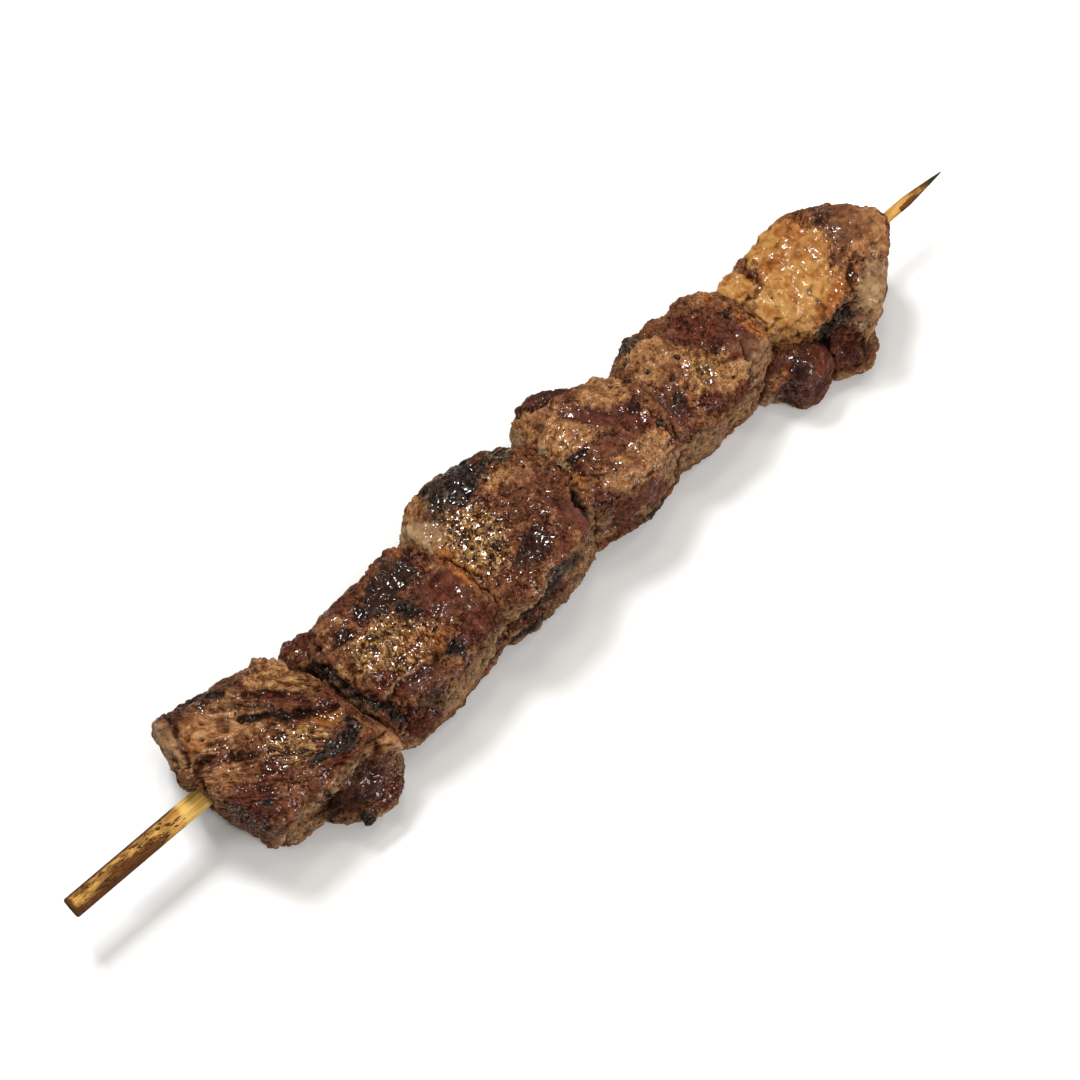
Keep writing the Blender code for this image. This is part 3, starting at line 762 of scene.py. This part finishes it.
def crumbs(meat):
    """The height of the grainy crust: clumps and flakes, pits, and a faint unevenness all over."""
    places, rough, smooth = meat.places, meat.grain.rough, smoothness(meat)
    flakes = ridges(rough(places, 1.5, 63, 2), 0.45)
    clumps = ridges(rough(places, 2.6, 83, 3, 0.6), 0.45)
    granular = meat.look["granular"] * ramp(rough(places, 6, 51, 3), -0.7, 0.2) * (0.5 + 0.5 * meat.lit)
    granular = np.maximum.reduce([granular, meat.stains["gold"] * 0.9, meat.stains["char"] * 0.8])
    granular = granular * (1 - 0.85 * smooth) * (1 - 0.6 * meat.stains["grey"])
    granular = granular * (1 - 0.4 * meat.stains["tan"])
    pits = ramp(rough(places, 1.5, 71, 2), 0.65, 0.9) * (1 - smooth)
    fine = 0.04 * (1 - smooth) * rough(places, 1.1, 77, 1)
    return granular * (0.15 * flakes + 0.26 * clumps) - 0.06 * pits + fine


def fat_pillows(meat):
    """The height of the fat's soft pillows, whose seams are a little scorched."""
    places, rough, fat = meat.places, meat.grain.rough, meat.stains["fat"]
    if not fat.any():
        return 0.0
    drift = np.stack([rough(places, 4.0, shift, 2) for shift in (33.0, 37.0, 43.0)], axis=-1)
    inward = meat.grain.cell_edges(places / 5.5 + 0.35 * drift)
    seam = (1 - ramp(inward, 0.02, 0.12)) * ramp(rough(places, 4.0, 53, 2), -0.1, 0.4)
    meat.stain("rim", 0.8 * seam * fat)
    lumps = fat * (0.34 * rough(places, 3.4, 91, 2) + 0.03 * rough(places, 1.6, 95, 1))
    return lumps + fat * 0.34 * (ramp(inward, 0.0, 0.40) - 0.7)


def ball(around, rings):
    """Places and faces of a round ball: its two poles, then its rings."""
    turn = np.linspace(0, 2 * math.pi, around, endpoint=False)
    tilt = np.linspace(0, math.pi, rings + 2)[1:-1]
    places = [(0.0, 0.0, 1.0), (0.0, 0.0, -1.0)]
    for t in tilt:
        places += [(math.sin(t) * math.cos(a), math.sin(t) * math.sin(a), math.cos(t)) for a in turn]
    faces = []
    last = 2 + (rings - 1) * around
    for k in range(around):
        following = (k + 1) % around
        faces += [(0, 2 + k, 2 + following), (1, last + following, last + k)]
        for top in range(2, last, around):
            bottom = top + around
            faces.append((top + k, bottom + k, bottom + following, top + following))
    return np.array(places), faces


def add_pepper(meat):
    """Cracked peppercorns and crumbs of char, pressed a little into the meat."""
    round_places, faces = ball(14, 8)
    for number, (x, y, size, turned) in enumerate(meat.look["pepper"]):
        place, facing = meat.on_top(x, y)
        up = Vector(facing)
        angle = math.radians(turned)
        first = Vector((math.cos(angle), math.sin(angle), 0.0))
        first = (first - up * first.dot(up)).normalized()
        second = up.cross(first)
        uneven = 1 + 0.25 * meat.grain.rough(round_places, 1 / 1.3, 5.7 * number, 3)
        grown = round_places * uneven[:, None] * [size, size * 0.68, size * 0.55]
        places = place + grown @ np.array([first, second, up]) + np.array(up) * size * 0.18
        meat.add(places, faces, {"char": 1.0, "relief": 0.5, "grit": 0.5, "wet": 0.4})


def smooth_way(anchors, steps):
    """A smooth curve through the anchors, with so many steps from each to the next."""
    way = []
    for k, (a, b) in enumerate(zip(anchors, anchors[1:])):
        before, after = anchors[max(k - 1, 0)], anchors[min(k + 2, len(anchors) - 1)]
        for step in range(steps):
            t = step / steps
            way.append(0.5 * (
                (2 * a) + (b - before) * t + (2 * before - 5 * a + 4 * b - after) * t * t
                + (3 * a - before - 3 * b + after) * t**3
            ))
    return way + [anchors[-1]]


def add_strands(meat):
    """Loose pale fibres that lie on the meat or bridge a hollow."""
    sides = 6
    turn = np.linspace(0, 2 * math.pi, sides, endpoint=False)
    for half, lift, points in meat.look["strands"]:
        anchors = []
        for x, y in points:
            place, facing = meat.on_top(x, y)
            anchors.append(Vector(place + lift * facing))
        way = smooth_way(anchors, 8)
        rings = []
        for k, spot in enumerate(way):
            run = (way[min(k + 1, len(way) - 1)] - way[max(k - 1, 0)]).normalized()
            first = run.orthogonal().normalized()
            second = run.cross(first)
            thick = half * (0.35 + 0.65 * math.sin(math.pi * (k + 0.5) / len(way)) ** 0.5)
            rings += [spot + thick * (math.cos(a) * first + math.sin(a) * second) for a in turn]
        faces = []
        for ring in range(0, sides * (len(way) - 1), sides):
            for i in range(sides):
                following = (i + 1) % sides
                faces.append((ring + i, ring + following, ring + sides + following, ring + sides + i))
        meat.add([list(spot) for spot in rings], faces, {"pale": 1.0, "relief": 0.6, "grit": 0.6, "wet": 0.6})


def brown(meat):
    """Models and stains one chunk, then notes how far each place stands out, coarsely and finely."""
    stain_meat(meat)
    carve(meat)
    raise_fibres(meat)
    meat.push(crumbs(meat) + fat_pillows(meat))
    meat.stains["relief"] = np.clip(0.5 + meat.cavity(30) / 0.5, 0, 1)
    meat.stains["grit"] = np.clip(0.5 + meat.cavity(4) / 0.16, 0, 1)
    add_pepper(meat)
    add_strands(meat)


# ---------------------------------------- materials
class Value:
    """A value in a material that can be written in sums."""

    def __init__(self, tree, socket):
        self.tree, self.socket = tree, socket

    def math(self, operation, *others, clamp=False):
        node = self.tree.nodes.new("ShaderNodeMath")
        node.operation = operation
        node.use_clamp = clamp
        for entry, value in zip(node.inputs, (self, *others)):
            if isinstance(value, Value):
                self.tree.links.new(value.socket, entry)
            else:
                entry.default_value = value
        return Value(self.tree, node.outputs[0])

    def __add__(self, other):
        return self.math("ADD", other)

    def __sub__(self, other):
        return self.math("SUBTRACT", other)

    def __rsub__(self, other):
        return (self * -1) + other

    def __mul__(self, other):
        return self.math("MULTIPLY", other)

    __radd__ = __add__
    __rmul__ = __mul__

    def clamped(self):
        """The value, kept from 0 to 1."""
        return self.math("ADD", 0.0, clamp=True)

    def step(self, low, high):
        """0 below low, 1 above high, straight between; high may be the smaller of the two."""
        return ((self - low) * (1 / (high - low))).clamped()


class Finish:
    """A material being built, with its Principled shader."""

    def __init__(self, name, **constants):
        self.material = bpy.data.materials.new(name)
        self.material.use_nodes = True
        self.tree = self.material.node_tree
        self.shader = self.tree.nodes["Principled BSDF"]
        for socket, value in constants.items():
            self.shader.inputs[socket.replace("_", " ")].default_value = value

    def node(self, kind, settings=None, sockets=None, output=0):
        """One output of any node: its settings come first, then its sockets' values or links."""
        made = self.tree.nodes.new(kind)
        for key, value in (settings or {}).items():
            setattr(made, key, value)
        for key, value in (sockets or {}).items():
            if isinstance(value, Value):
                self.tree.links.new(value.socket, made.inputs[key])
            else:
                made.inputs[key].default_value = value
        return Value(self.tree, made.outputs[output])

    def stain(self, name):
        return self.node("ShaderNodeAttribute", {"attribute_name": name}, output="Fac")

    def place(self):
        """The place on the object, in millimetres."""
        on_object = self.node("ShaderNodeTexCoord", output="Object")
        return self.node("ShaderNodeVectorMath", {"operation": "SCALE"}, {0: on_object, "Scale": 1 / MM})

    def times(self, vector, shares):
        """A place or colour with its three parts multiplied, each by its share."""
        return self.node("ShaderNodeVectorMath", {"operation": "MULTIPLY"}, {0: vector, 1: shares})

    def stretched(self, place, sizes):
        """A place counted in units of the three sizes."""
        return self.times(place, tuple(1 / size for size in sizes))

    def noise(self, place, size, detail=3.0, roughness=0.5, distortion=0.0):
        values = {"Vector": place, "Scale": 1 / size, "Detail": detail, "Roughness": roughness}
        values["Distortion"] = distortion
        return self.node("ShaderNodeTexNoise", None, values, output="Fac")

    def dots(self, place, size):
        """How far each place is from the nearest of many scattered dots."""
        values = {"Vector": place, "Scale": 1 / size, "Randomness": 1.0}
        return self.node("ShaderNodeTexVoronoi", {"feature": "F1"}, values, output="Distance")

    def mix(self, share, below, above):
        """One colour over another by a share from 0 to 1."""
        colours = {
            0: share,
            6: below if isinstance(below, Value) else (*below, 1.0),
            7: above if isinstance(above, Value) else (*above, 1.0),
        }
        return self.node("ShaderNodeMix", {"data_type": "RGBA", "clamp_factor": True}, colours, output=2)

    def connect(self, **links):
        for socket, value in links.items():
            self.tree.links.new(value.socket, self.shader.inputs[socket.replace("_", " ")])

    def bump(self, height, depth):
        """A Normal from a height in units of `depth` millimetres."""
        return self.node("ShaderNodeBump", None, {"Height": height, "Distance": depth * MM, "Strength": 1.0})


# Each kind of stain as its colour in hollows and on raised grains, how much it gathers in the hollows, and
# how high a grain stands before it takes the raised colour. Later ones cover earlier ones. As that height
# follows the relief, the darker hollow colours are partly painted shade and the lighter raised ones partly
# painted light, over each stain's own tone.
STAIN_COLOURS = {
    "tan": ((0.108, 0.038, 0.012), (0.308, 0.150, 0.061), -0.2, -0.05),
    "gold": ((0.034, 0.009, 0.002), (0.340, 0.172, 0.052), -0.2, 0.20),
    "grey": ((0.074, 0.035, 0.015), (0.275, 0.154, 0.075), 0.0, 0.0),
    "mauve": ((0.028, 0.008, 0.005), (0.104, 0.036, 0.022), 0.1, 0.0),
    "fat": ((0.195, 0.067, 0.011), (0.350, 0.180, 0.053), 0.0, -0.15),
    "red": ((0.022, 0.004, 0.002), (0.110, 0.032, 0.016), 0.1, 0.0),
    "rim": ((0.105, 0.025, 0.004), (0.295, 0.108, 0.026), 0.2, 0.0),
    # The dark stain is partly the meat's own dark tone and partly painted shade in grooves and at ledges'
    # feet.
    "dark": ((0.007, 0.003, 0.002), (0.036, 0.014, 0.009), 0.15, 0.0),
    # The char stain is mostly real char, and partly painted shade in the gaps between chunks.
    "char": ((0.004, 0.003, 0.002), (0.040, 0.027, 0.020), 0.25, 0.05),
    "pale": ((0.125, 0.062, 0.024), (0.285, 0.185, 0.094), -0.3, -0.1),
}
SOFT_EDGED = ("fat", "pale")  # stains that the grains don't fray
PLAIN_CRUST = ((0.035, 0.010, 0.004), (0.188, 0.076, 0.033))  # the colours under all stains, low and high
# CREASE_SHADE is the near-black painted shade laid in the deepest hollows.
# CREST_HIGHLIGHT is the pale colour of the highest grains: partly pale crust, partly painted highlight.
CREST_HIGHLIGHT, SPECK, CREASE_SHADE = (0.460, 0.280, 0.130), (0.010, 0.005, 0.003), (0.020, 0.007, 0.004)
WARM_TINT, COOL_TINT = (1.06, 0.89, 0.76), (0.78, 0.66, 0.76)


def grilled_meat(name, **constants):
    """Moist grilled lamb: brown crust, golden and charred places, red juices, grey sides and yellow fat."""
    finish = Finish(name, Coat_Roughness=0.08, Coat_IOR=1.65, IOR=1.35, Specular_IOR_Level=0.05, **constants)
    place, fat, tan, gold = finish.place(), finish.stain("fat"), finish.stain("tan"), finish.stain("gold")
    crusty = (1 - finish.stain("smooth") * 0.8) * (1 - fat * 0.9) * (1 - finish.stain("mauve") * 0.4)
    crusty = crusty * (1 - tan * 0.4) * (1 - finish.stain("grey") * 0.6)
    patch = finish.noise(place, 3.5, 3.0, 0.6)
    other = finish.noise(finish.stretched(place, (-1, 1, 1)), 4.2, 3.0, 0.6)
    mottle = finish.noise(place, 1.4, 3.0, 0.6, 0.4)
    grains = finish.noise(place, 0.80, 2.0, 0.65, 1.0)
    up = finish.node("ShaderNodeSeparateXYZ", None, {0: place}, output=2)
    along_fibres = finish.node("ShaderNodeCombineXYZ", None, {
        0: finish.stain("along") * (1 / 4.5), 1: finish.stain("across") * (1 / 0.60), 2: up * (1 / 0.60)
    })
    threads = finish.noise(along_fibres, 1.0, 2.0, 0.6, 0.5)
    fine = grains + (threads - grains) * finish.stain("fibre")
    # Relief and grit make hollows darker and raised grains lighter: painted shade and light over the crust's
    # tone.
    height = (finish.stain("grit") - 0.5) * 0.3 + (mottle - 0.5) * 1.4 + (fine - 0.5) * 5.2 * crusty
    height = finish.stain("relief") * 0.5 + height + (patch - 0.5) * (1.2 + fat * 1.2)
    high = height.step(-0.30, 0.80)

    colour = finish.mix(high, *PLAIN_CRUST)
    for kind, (hollow, raised, gathering, start) in STAIN_COLOURS.items():
        amount = finish.stain(kind)
        frayed = 0.1 if kind in SOFT_EDGED else 0.9
        ragged = ((mottle - 0.5) * 0.9 + (fine - 0.5) * frayed) * amount.step(0.0, 0.3)
        share = (amount * (1.2 - gathering * high) + ragged).step(0.1, 1.0)
        stained = finish.mix(height.step(start - 0.30, start + 0.80), hollow, raised)
        colour = finish.mix(share, colour, stained)
    # The highest grains of tan and gold places turn pale: partly pale crust tips, partly painted highlight.
    crest_highlight = (tan + gold).step(0.2, 0.7) * (height + other).step(1.05, 1.75)
    colour = finish.mix(crest_highlight * 0.5, colour, CREST_HIGHLIGHT)
    lean = 1 - fat
    colour = finish.mix(patch.step(0.50, 0.70) * lean * 0.5, colour, finish.times(colour, WARM_TINT))
    colour = finish.mix(other.step(0.50, 0.66) * lean * 0.7, colour, finish.times(colour, COOL_TINT))
    specks = finish.dots(place, 1.7).step(0.14, 0.08) * finish.noise(place, 4.0, 2.0).step(0.5, 0.6)
    colour = finish.mix(specks * 0.8, colour, SPECK)
    # Painted shade: the deepest hollows are darkened towards near black.
    crease_shade = (finish.stain("relief") + (mottle - 0.5) * 0.4).step(0.25, 0.0) * lean
    colour = finish.mix(crease_shade * 0.5, colour, CREASE_SHADE)

    wet = (finish.stain("wet") * 0.9 + (mottle - 0.5) * 1.2 + (patch - 0.5)).step(-0.02, 0.80)
    film = (finish.noise(place, 0.5, 1.0, 0.5) - 0.5 + gold * 0.04).step(0.02, 0.12)
    film = film + finish.stain("smooth") * 0.08 + fat * 0.12
    creases = (grains - 0.5).math("ABSOLUTE")
    ripples = (creases * -2.6 + (fine - 0.5) * 1.6) * (crusty * 0.94 + 0.06) + mottle * (0.8 - fat * 0.35)
    finish.connect(
        Base_Color=colour,
        Roughness=0.78 - wet * 0.2,
        Coat_Weight=(wet * film * 0.85).clamped(),
        Normal=finish.bump(ripples, 0.56),
    )
    return finish.material


def toasted_bamboo():
    """Bamboo: pale and clean by the meat, scorched amber and burnt brown further out, with black specks, and
    near black inside the meat: partly its own browning, partly painted shade where it shows between chunks.
    """
    finish = Finish("toasted_bamboo", IOR=1.45, Specular_IOR_Level=0.08)
    place = finish.place()
    streaks = finish.noise(finish.stretched(place, (12.0, 0.34, 0.34)), 1.0, 3.0, 0.65)
    threads = finish.noise(finish.stretched(place, (5.0, 0.16, 0.16)), 1.0, 2.0, 0.5)
    mottle = finish.noise(finish.stretched(place, (1.8, 0.7, 0.7)), 1.0, 4.0, 0.7)
    streaky = ((streaks - 0.5) * 2.2 + (threads - 0.5) * 1.2 + 0.5).step(0.1, 0.9)
    colour = finish.mix(streaky, (0.36, 0.200, 0.045), (0.66, 0.43, 0.120))
    amber = (finish.stain("amber") + (mottle - 0.5) * 0.9).step(0.15, 0.75)
    colour = finish.mix(amber, colour, finish.mix(streaky, (0.105, 0.032, 0.005), (0.48, 0.245, 0.058)))
    toast = finish.stain("toast")
    ragged = (mottle - 0.5) * 1.4 + (streaks - 0.5) * 3.4 + (threads - 0.5) * 1.4
    toast = (toast * 1.3 + ragged * toast.step(0.0, 0.3)).step(0.1, 0.85)
    browned = finish.mix(streaky, (0.012, 0.003, 0.001), (0.092, 0.026, 0.006))
    colour = finish.mix(toast * 0.95, colour, browned)
    burn_and_shade = (finish.stain("burn_and_shade") + (mottle - 0.5) * 1.0).step(0.35, 0.65)
    # Black specks, and painted shade where the stick shows between chunks.
    colour = finish.mix(burn_and_shade * 0.9, colour, (0.026, 0.009, 0.003))
    colour = finish.mix(finish.stain("sooty"), colour, (0.016, 0.018, 0.009))
    finish.connect(
        Base_Color=colour,
        Roughness=0.6 + threads * 0.2,
        Normal=finish.bump(streaks + threads * 0.8 - burn_and_shade * 0.6, 0.10),
    )
    return finish.material


def pale_floor():
    finish = Finish("pale_floor", Roughness=0.9)
    finish.shader.inputs["Base Color"].default_value = (0.66, 0.66, 0.66, 1.0)
    return finish.material


# ---------------------------------------- stick
SIDES, ROW = 64, 0.36  # the stick's mesh: places around it, and from one ring of them to the next
WHITTLED, TIP, TIP_HALF = 44.0, 11.0, 1.16  # lengths of the long taper and of its tip, which is fuller
NEEDLE, BEVEL = 0.12, 0.3  # half thickness of the very point, and the bevel of the blunt end


def stick_reach(along):
    """The stick's half thickness at places along it."""
    low, high = STICK_LOW[0], STICK_HIGH[0]
    half = (STICK_HIGH[2] - STICK_LOW[2]) / 2
    taper = NEEDLE + (half - NEEDLE) * np.clip((high - along) / WHITTLED, 0.0, 1.0) ** 0.8
    tip = NEEDLE + TIP_HALF * np.clip((high - along) / TIP, 0.0, 1.0) ** 0.9
    return np.maximum(taper, tip) - BEVEL * (1 - np.clip((along - low) / BEVEL, 0, 1))


def stick_form(grain):
    """Places and faces of the round rod with faint flats, and how far to the left each place faces."""
    along = np.arange(STICK_LOW[0], STICK_HIGH[0] + ROW / 2, ROW)
    x = np.repeat(along, SIDES)
    angle = np.tile(np.linspace(0, 2 * math.pi, SIDES, endpoint=False), len(along))
    y, z = np.cos(angle), np.sin(angle)
    rods = np.stack([x / 16.0, 6 * y, 6 * z], axis=-1)
    flats = np.stack([x / 60.0, 1.3 * y, 1.3 * z], axis=-1)
    uneven = 1 - 0.012 - 0.012 * grain.rough(rods, 1, 0, 2) - 0.02 * grain.waves(flats)
    reach = np.repeat(stick_reach(along), SIDES) * uneven
    places = np.stack([x, AXIS[1] + reach * y, AXIS[2] + reach * z], axis=-1)
    ends = np.array([[end[0], AXIS[1], AXIS[2]] for end in (STICK_LOW, STICK_HIGH)])

    top = (len(along) - 1) * SIDES
    i = np.arange(0, top, SIDES)[:, None]
    j = np.arange(SIDES)[None, :]
    k = (j + 1) % SIDES
    quads = np.stack([i + j, i + SIDES + j, i + SIDES + k, i + k], axis=-1).reshape(-1, 4).tolist()
    caps = [(len(x), a, (a + 1) % SIDES) for a in range(SIDES)]
    caps += [(len(x) + 1, top + (a + 1) % SIDES, top + a) for a in range(SIDES)]
    return np.concatenate([places, ends]), quads + caps, np.concatenate([y, [0.0, 0.0]])


def stick_stains(grain, places, left):
    """How amber, toasted, burnt and sooty the stick is, by how far each place is from the stick's middle,
    towards its point (sharp) and towards its blunt end (blunt). Inside the meat it is burnt near black:
    partly its own browning, partly painted shade where it shows between chunks. The meat begins at about 94
    and 103."""
    sharp = places[:, 0] - AXIS[0]
    blunt = -sharp
    drawn = places * [1 / 2.5, 1.0, 1.0]  # noise on it runs along the stick
    ragged = grain.rough(drawn, 1.8, 3, 4, 0.6)
    clean_side = bell(blunt - 97.6, 1.5) * ramp(left + 0.4 * ragged, -0.5, 0.2)
    amber = ramp(blunt, 95.0, 97.5) * 0.55 + 0.7 * clean_side + 0.55 * ramp(sharp, 98, 103)
    toast = np.maximum.reduce([
        ramp(blunt, 98.0, 106.0) * ramp(0.50 * ragged - left, -0.30, 0.90),
        0.8 * bell(blunt - 115.0, 4.0) * ramp(0.4 * ragged - left, -0.2, 0.4),
        0.55 * ramp(blunt, 97.5, 102.0) * ramp(ragged, -0.5, 0.5),
        ramp(left, 0.45, 0.80) * ramp(blunt, 96.0, 99.0),
        ramp(blunt, 123.6, 124.4),
        ramp(sharp, 110.9, 111.1) * ramp(sharp, 122.5, 114) * ramp(0.3 * ragged - left, 0.1, 0.8),
        0.5 * ramp(sharp, 112, 118),
    ])
    fleck = ramp(grain.rough(drawn, 0.55, 0, 4, 0.7), 0.32, 0.46)
    flecked = ramp(blunt, 95.5, 96.5) * ramp(blunt, 112.0, 100.0) + 0.7 * ramp(blunt, 97, 100)
    # Inside the meat it is burnt near black: partly its own browning, partly painted shade for the gaps.
    inner_browning_and_shade = ramp(blunt, 91.0, 88.0) * ramp(sharp, 104, 102)
    burn_and_shade = np.maximum(fleck * flecked * ramp(ragged, -0.6, 0.0), inner_browning_and_shade)
    sooty = np.maximum(ramp(sharp, 118.0, 121.5), ramp(blunt, 124.5, 124.95) * 0.75)
    return {"amber": amber, "toast": toast, "burn_and_shade": burn_and_shade, "sooty": sooty}


def make_stick(material):
    """The bamboo stick, whittled to a long point, its blunt end sawn."""
    grain = Grain(5)
    places, faces, left = stick_form(grain)
    mesh = bpy.data.meshes.new("bamboo")
    mesh.from_pydata((places * MM).tolist(), [], faces)
    mesh.validate()
    piece = stained_object("bamboo_stick", mesh, material, stick_stains(grain, places, left))
    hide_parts("stick")
    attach(piece, "root")


# ---------------------------------------- stage
WHITE, WARM = (1.0, 1.0, 1.0), (1.0, 0.94, 0.86)
# The square soft boxes: name, place and size in metres, watts, colour.
LIGHTS = (
    ("key", (0.05, 0.45, 0.85), 0.25, 9.6, WHITE), ("ceiling", (0.0, 0.10, 1.20), 1.4, 4.0, WHITE),
    ("low front", (0.25, -0.80, 0.42), 0.6, 8.5, WHITE), ("left", (-0.60, 0.20, 0.70), 0.11, 1.1, WARM),
    ("right", (0.62, -0.05, 0.72), 0.11, 1.1, WARM), ("front", (-0.10, -0.35, 0.92), 0.11, 1.1, WARM),
    ("top", (0.16, 0.18, 1.0), 0.13, 1.6, WARM),
)


def make_floor():
    """A square floor, so little under the kebab that nothing flickers; its lengths are in metres."""
    mesh = bpy.data.meshes.new("floor")
    half = 3.0
    corners = [(-half, -half, 0), (half, -half, 0), (half, half, 0), (-half, half, 0)]
    mesh.from_pydata(corners, [], [(0, 1, 2, 3)])
    mesh.materials.append(pale_floor())
    floor = bpy.data.objects.new("floor", mesh)
    bpy.context.scene.collection.objects.link(floor)
    floor.location.z = -0.0002


def make_lights():
    """The soft boxes, all turned to the kebab, and a faint light from all around."""
    for name, place, size, power, colour in LIGHTS:
        lamp = bpy.data.lights.new(name, "AREA")
        lamp.shape = "SQUARE"
        lamp.size = size
        lamp.energy = power
        lamp.color = colour
        light = bpy.data.objects.new(name, lamp)
        light.location = place
        light.rotation_euler = (-Vector(place)).to_track_quat("-Z", "Y").to_euler()
        bpy.context.scene.collection.objects.link(light)
    world = bpy.data.worlds.new("studio")
    world.use_nodes = True
    background = world.node_tree.nodes["Background"]
    background.inputs["Color"].default_value = (*WHITE, 1.0)
    background.inputs["Strength"].default_value = 0.10
    bpy.context.scene.world = world


def make_camera():
    aim, back = Vector((AXIS[0] + AIM[0], AXIS[1] + AIM[1], AIM[2])), Vector(TO_CAMERA)
    lens = bpy.data.cameras.new("camera")
    lens.sensor_width = 36.0
    lens.lens = 91.84
    lens.clip_start = 0.01
    camera = bpy.data.objects.new("camera", lens)
    camera.location = (aim + back * DISTANCE) * MM
    camera.rotation_euler = (-back).to_track_quat("-Z", "Y").to_euler()
    bpy.context.scene.collection.objects.link(camera)
    bpy.context.scene.camera = camera


def main():
    lamb = grilled_meat("grilled_lamb")
    under_skin = dict(Subsurface_Weight=0.25, Subsurface_Radius=(1.0, 0.5, 0.25), Subsurface_Scale=0.0015)
    fatty = grilled_meat("fatty_lamb", **under_skin)
    for node, look in LOOKS.items():
        meat = Meat(node, look)
        brown(meat)
        meat.finish("grilled_" + node, fatty if look["slot"] == "golden_fat" else lamb, look["slot"])
    make_stick(toasted_bamboo())
    make_floor()
    make_lights()
    make_camera()
    bpy.context.scene.view_settings.view_transform = "Standard"


main()
